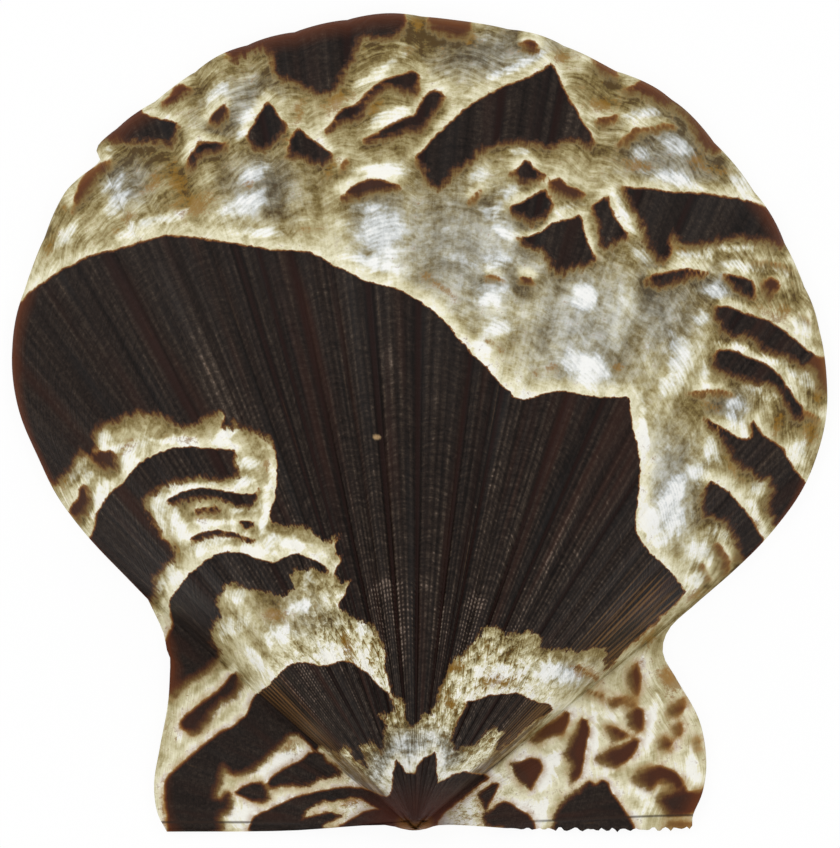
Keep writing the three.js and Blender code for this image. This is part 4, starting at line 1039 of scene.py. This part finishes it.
# a painted grey sheen on some ribs
darkest = shell.mix((1 - hue).ramp(0.52, 0.75) * 0.25, darkest, srgb(42, 42, 42))
# painted shade in the furrows, tinted dark red
darkest = shell.mix(furrow.ramp(0.3, 1.0) * 0.5, darkest, srgb(40, 15, 9))
rusty = (flank + (riblet_noise - 0.5) * 2.8 + (riblets - 0.5) * 0.7).ramp(0.65, 1.5)
darkest = shell.mix(rusty * 0.65, darkest, srgb(122, 86, 44))
darkest = shell.mix(shell.attribute("chip").ramp(0.25, 0.8) * 0.85, darkest, srgb(182, 150, 108))

# Between ground and pigment lies a brown stain, ruddy where the marking's edge is crisp and
# olive where it trails off.
leading_stain = shell.ramp_colours(pigment, [
    (0.0, srgb(204, 176, 116)),
    (0.15, srgb(172, 134, 74)),
    (0.3, srgb(146, 102, 50)),
    (0.45, srgb(122, 80, 38)),
    (0.6, srgb(96, 56, 28)),
    (0.72, srgb(68, 38, 24)),
    (0.9, srgb(45, 29, 23)),
])
trailing_stain = shell.ramp_colours(pigment, [
    (0.0, srgb(168, 154, 116)),
    (0.15, srgb(146, 128, 88)),
    (0.3, srgb(122, 98, 56)),
    (0.45, srgb(102, 74, 40)),
    (0.6, srgb(84, 54, 30)),
    (0.72, srgb(62, 39, 26)),
    (0.9, srgb(44, 31, 25)),
])
stain = shell.mix(trailing, leading_stain, trailing_stain)
reddish = ear * pigment.ramp(0.5, 0.7) * (1 - trailing * 0.6)
stain = shell.mix(reddish * 0.5, stain, srgb(80, 38, 18))
stain = shell.mix(pigment.ramp(0.78, 0.95), stain, darkest)
surface_colour = shell.mix(pigment.ramp(0.0, 0.35), ground, stain)

# The thin outer edge and the beak's tip show the shell's own red and amber, the fold above the
# hinge gets a dark line of painted shade, and the inside is paler.
thin_edge = (1 - from_edge.ramp(0.0, 0.7)) * pigment.ramp(0.3, 0.6)
surface_colour = shell.mix(thin_edge * 0.5, surface_colour, srgb(104, 52, 24))
TIP_HEIGHT = 0.9
from_tip = shell.add(
    "ShaderNodeVectorMath", {"operation": "DISTANCE"},
    {0: millimetres, 1: (*-box_middle, TIP_HEIGHT)}, output="Value",
)
red_tip = (1 - from_tip.ramp(0.4, 2.6)) * 0.75
surface_colour = shell.mix(red_tip, surface_colour, srgb(78, 34, 20))
amber_tip = (1 - from_tip.ramp(0.3, 0.75)) * 0.75
surface_colour = shell.mix(amber_tip, surface_colour, srgb(140, 92, 38))
across = shell.part(millimetres, "X") + box_middle[0]
upward = shell.part(millimetres, "Y") + box_middle[1]
fold_gap = upward - across.ramp(2, 9) * (FOLD_HIGH - FOLD_LOW) - FOLD_LOW
# the fold's dark line is painted shade
fold = (1 - fold_gap.math("ABSOLUTE").ramp(0.01, 0.06)) * across.math("ABSOLUTE").ramp(2.6, 4.4)
surface_colour = shell.mix(fold * 0.75, surface_colour, srgb(46, 32, 24))
lining = shell.mix(0.55, surface_colour, srgb(226, 220, 210))
surface_colour = shell.mix(inside, surface_colour, lining)

# The finest relief, too small for the mesh.
RELIEF_DEPTH = 0.018 * MILLIMETRE
relief = (
    riblets * 0.4 * (1.1 - age)
    + beads * 1.2
    + (threads - 0.5) * 1.6
    + (riblet_noise - 0.5) * 1.2
    - furrow * 1.2
)
relief = relief * (1 - inside * 0.9)
bump = shell.add(
    "ShaderNodeBump", {}, {"Strength": 1.0, "Distance": RELIEF_DEPTH, "Height": relief}
)
shell.put(shell.surface.inputs["Base Color"], surface_colour)
shell.put(shell.surface.inputs["Normal"], bump)
shell.surface.inputs["Roughness"].default_value = 0.42
shell.surface.inputs["Specular IOR Level"].default_value = 0.12
mesh.materials.append(shell.material)

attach(valve, "root")
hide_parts("shell_valve")

# The table.
# A smooth white sheet that glows a little, as on a light box.
bpy.ops.mesh.primitive_plane_add(size=0.8, location=(0, 0, -0.00001))
table = bpy.context.object
table.name = "table"
sheet = Shader("white_sheet")
sheet.surface.inputs["Base Color"].default_value = (0.1, 0.1, 0.1, 1)
sheet.surface.inputs["Roughness"].default_value = 0.9
sheet.surface.inputs["Specular IOR Level"].default_value = 0.0
sheet.surface.inputs["Emission Color"].default_value = (1, 1, 1, 1)
sheet.surface.inputs["Emission Strength"].default_value = 0.9
table.data.materials.append(sheet.material)

# Light and camera.
# Four soft boxes round the table and a dim white room. The camera is high above with a long lens.
world = bpy.data.worlds.new("room")
bpy.context.scene.world = world
world.use_nodes = True
world.node_tree.nodes["Background"].inputs["Color"].default_value = (1, 1, 1, 1)
world.node_tree.nodes["Background"].inputs["Strength"].default_value = 0.72

BOX_DISTANCE = 0.3  # metres, both to the side and up
for turn, power in ((135, 0.28), (45, 0.16), (-45, 0.12), (-135, 0.16)):
    box_light = bpy.data.lights.new("soft_box", "AREA")
    box_light.shape = "DISK"
    box_light.size = 0.25
    box_light.energy = power
    soft_box = bpy.data.objects.new("soft_box", box_light)
    angle = math.radians(turn)
    soft_box.location = BOX_DISTANCE * np.array([math.cos(angle), math.sin(angle), 1])
    soft_box.rotation_euler = (math.radians(45), 0, angle + math.pi / 2)
    bpy.context.scene.collection.objects.link(soft_box)

CAMERA_HEIGHT = 0.6
PICTURE_SPAN = 0.0265  # metres of the table from the top of the picture to its foot
PICTURE_MIDDLE = np.array([0.156, 12.656])  # millimetres from the beak's tip
camera_data = bpy.data.cameras.new("camera")
camera_data.lens = camera_data.sensor_width * CAMERA_HEIGHT / PICTURE_SPAN
camera_data.clip_start = 0.01
camera = bpy.data.objects.new("camera", camera_data)
camera.location = (*(PICTURE_MIDDLE - box_middle) * MILLIMETRE, CAMERA_HEIGHT)
bpy.context.scene.collection.objects.link(camera)
bpy.context.scene.camera = camera
bpy.context.scene.view_settings.view_transform = "Standard"
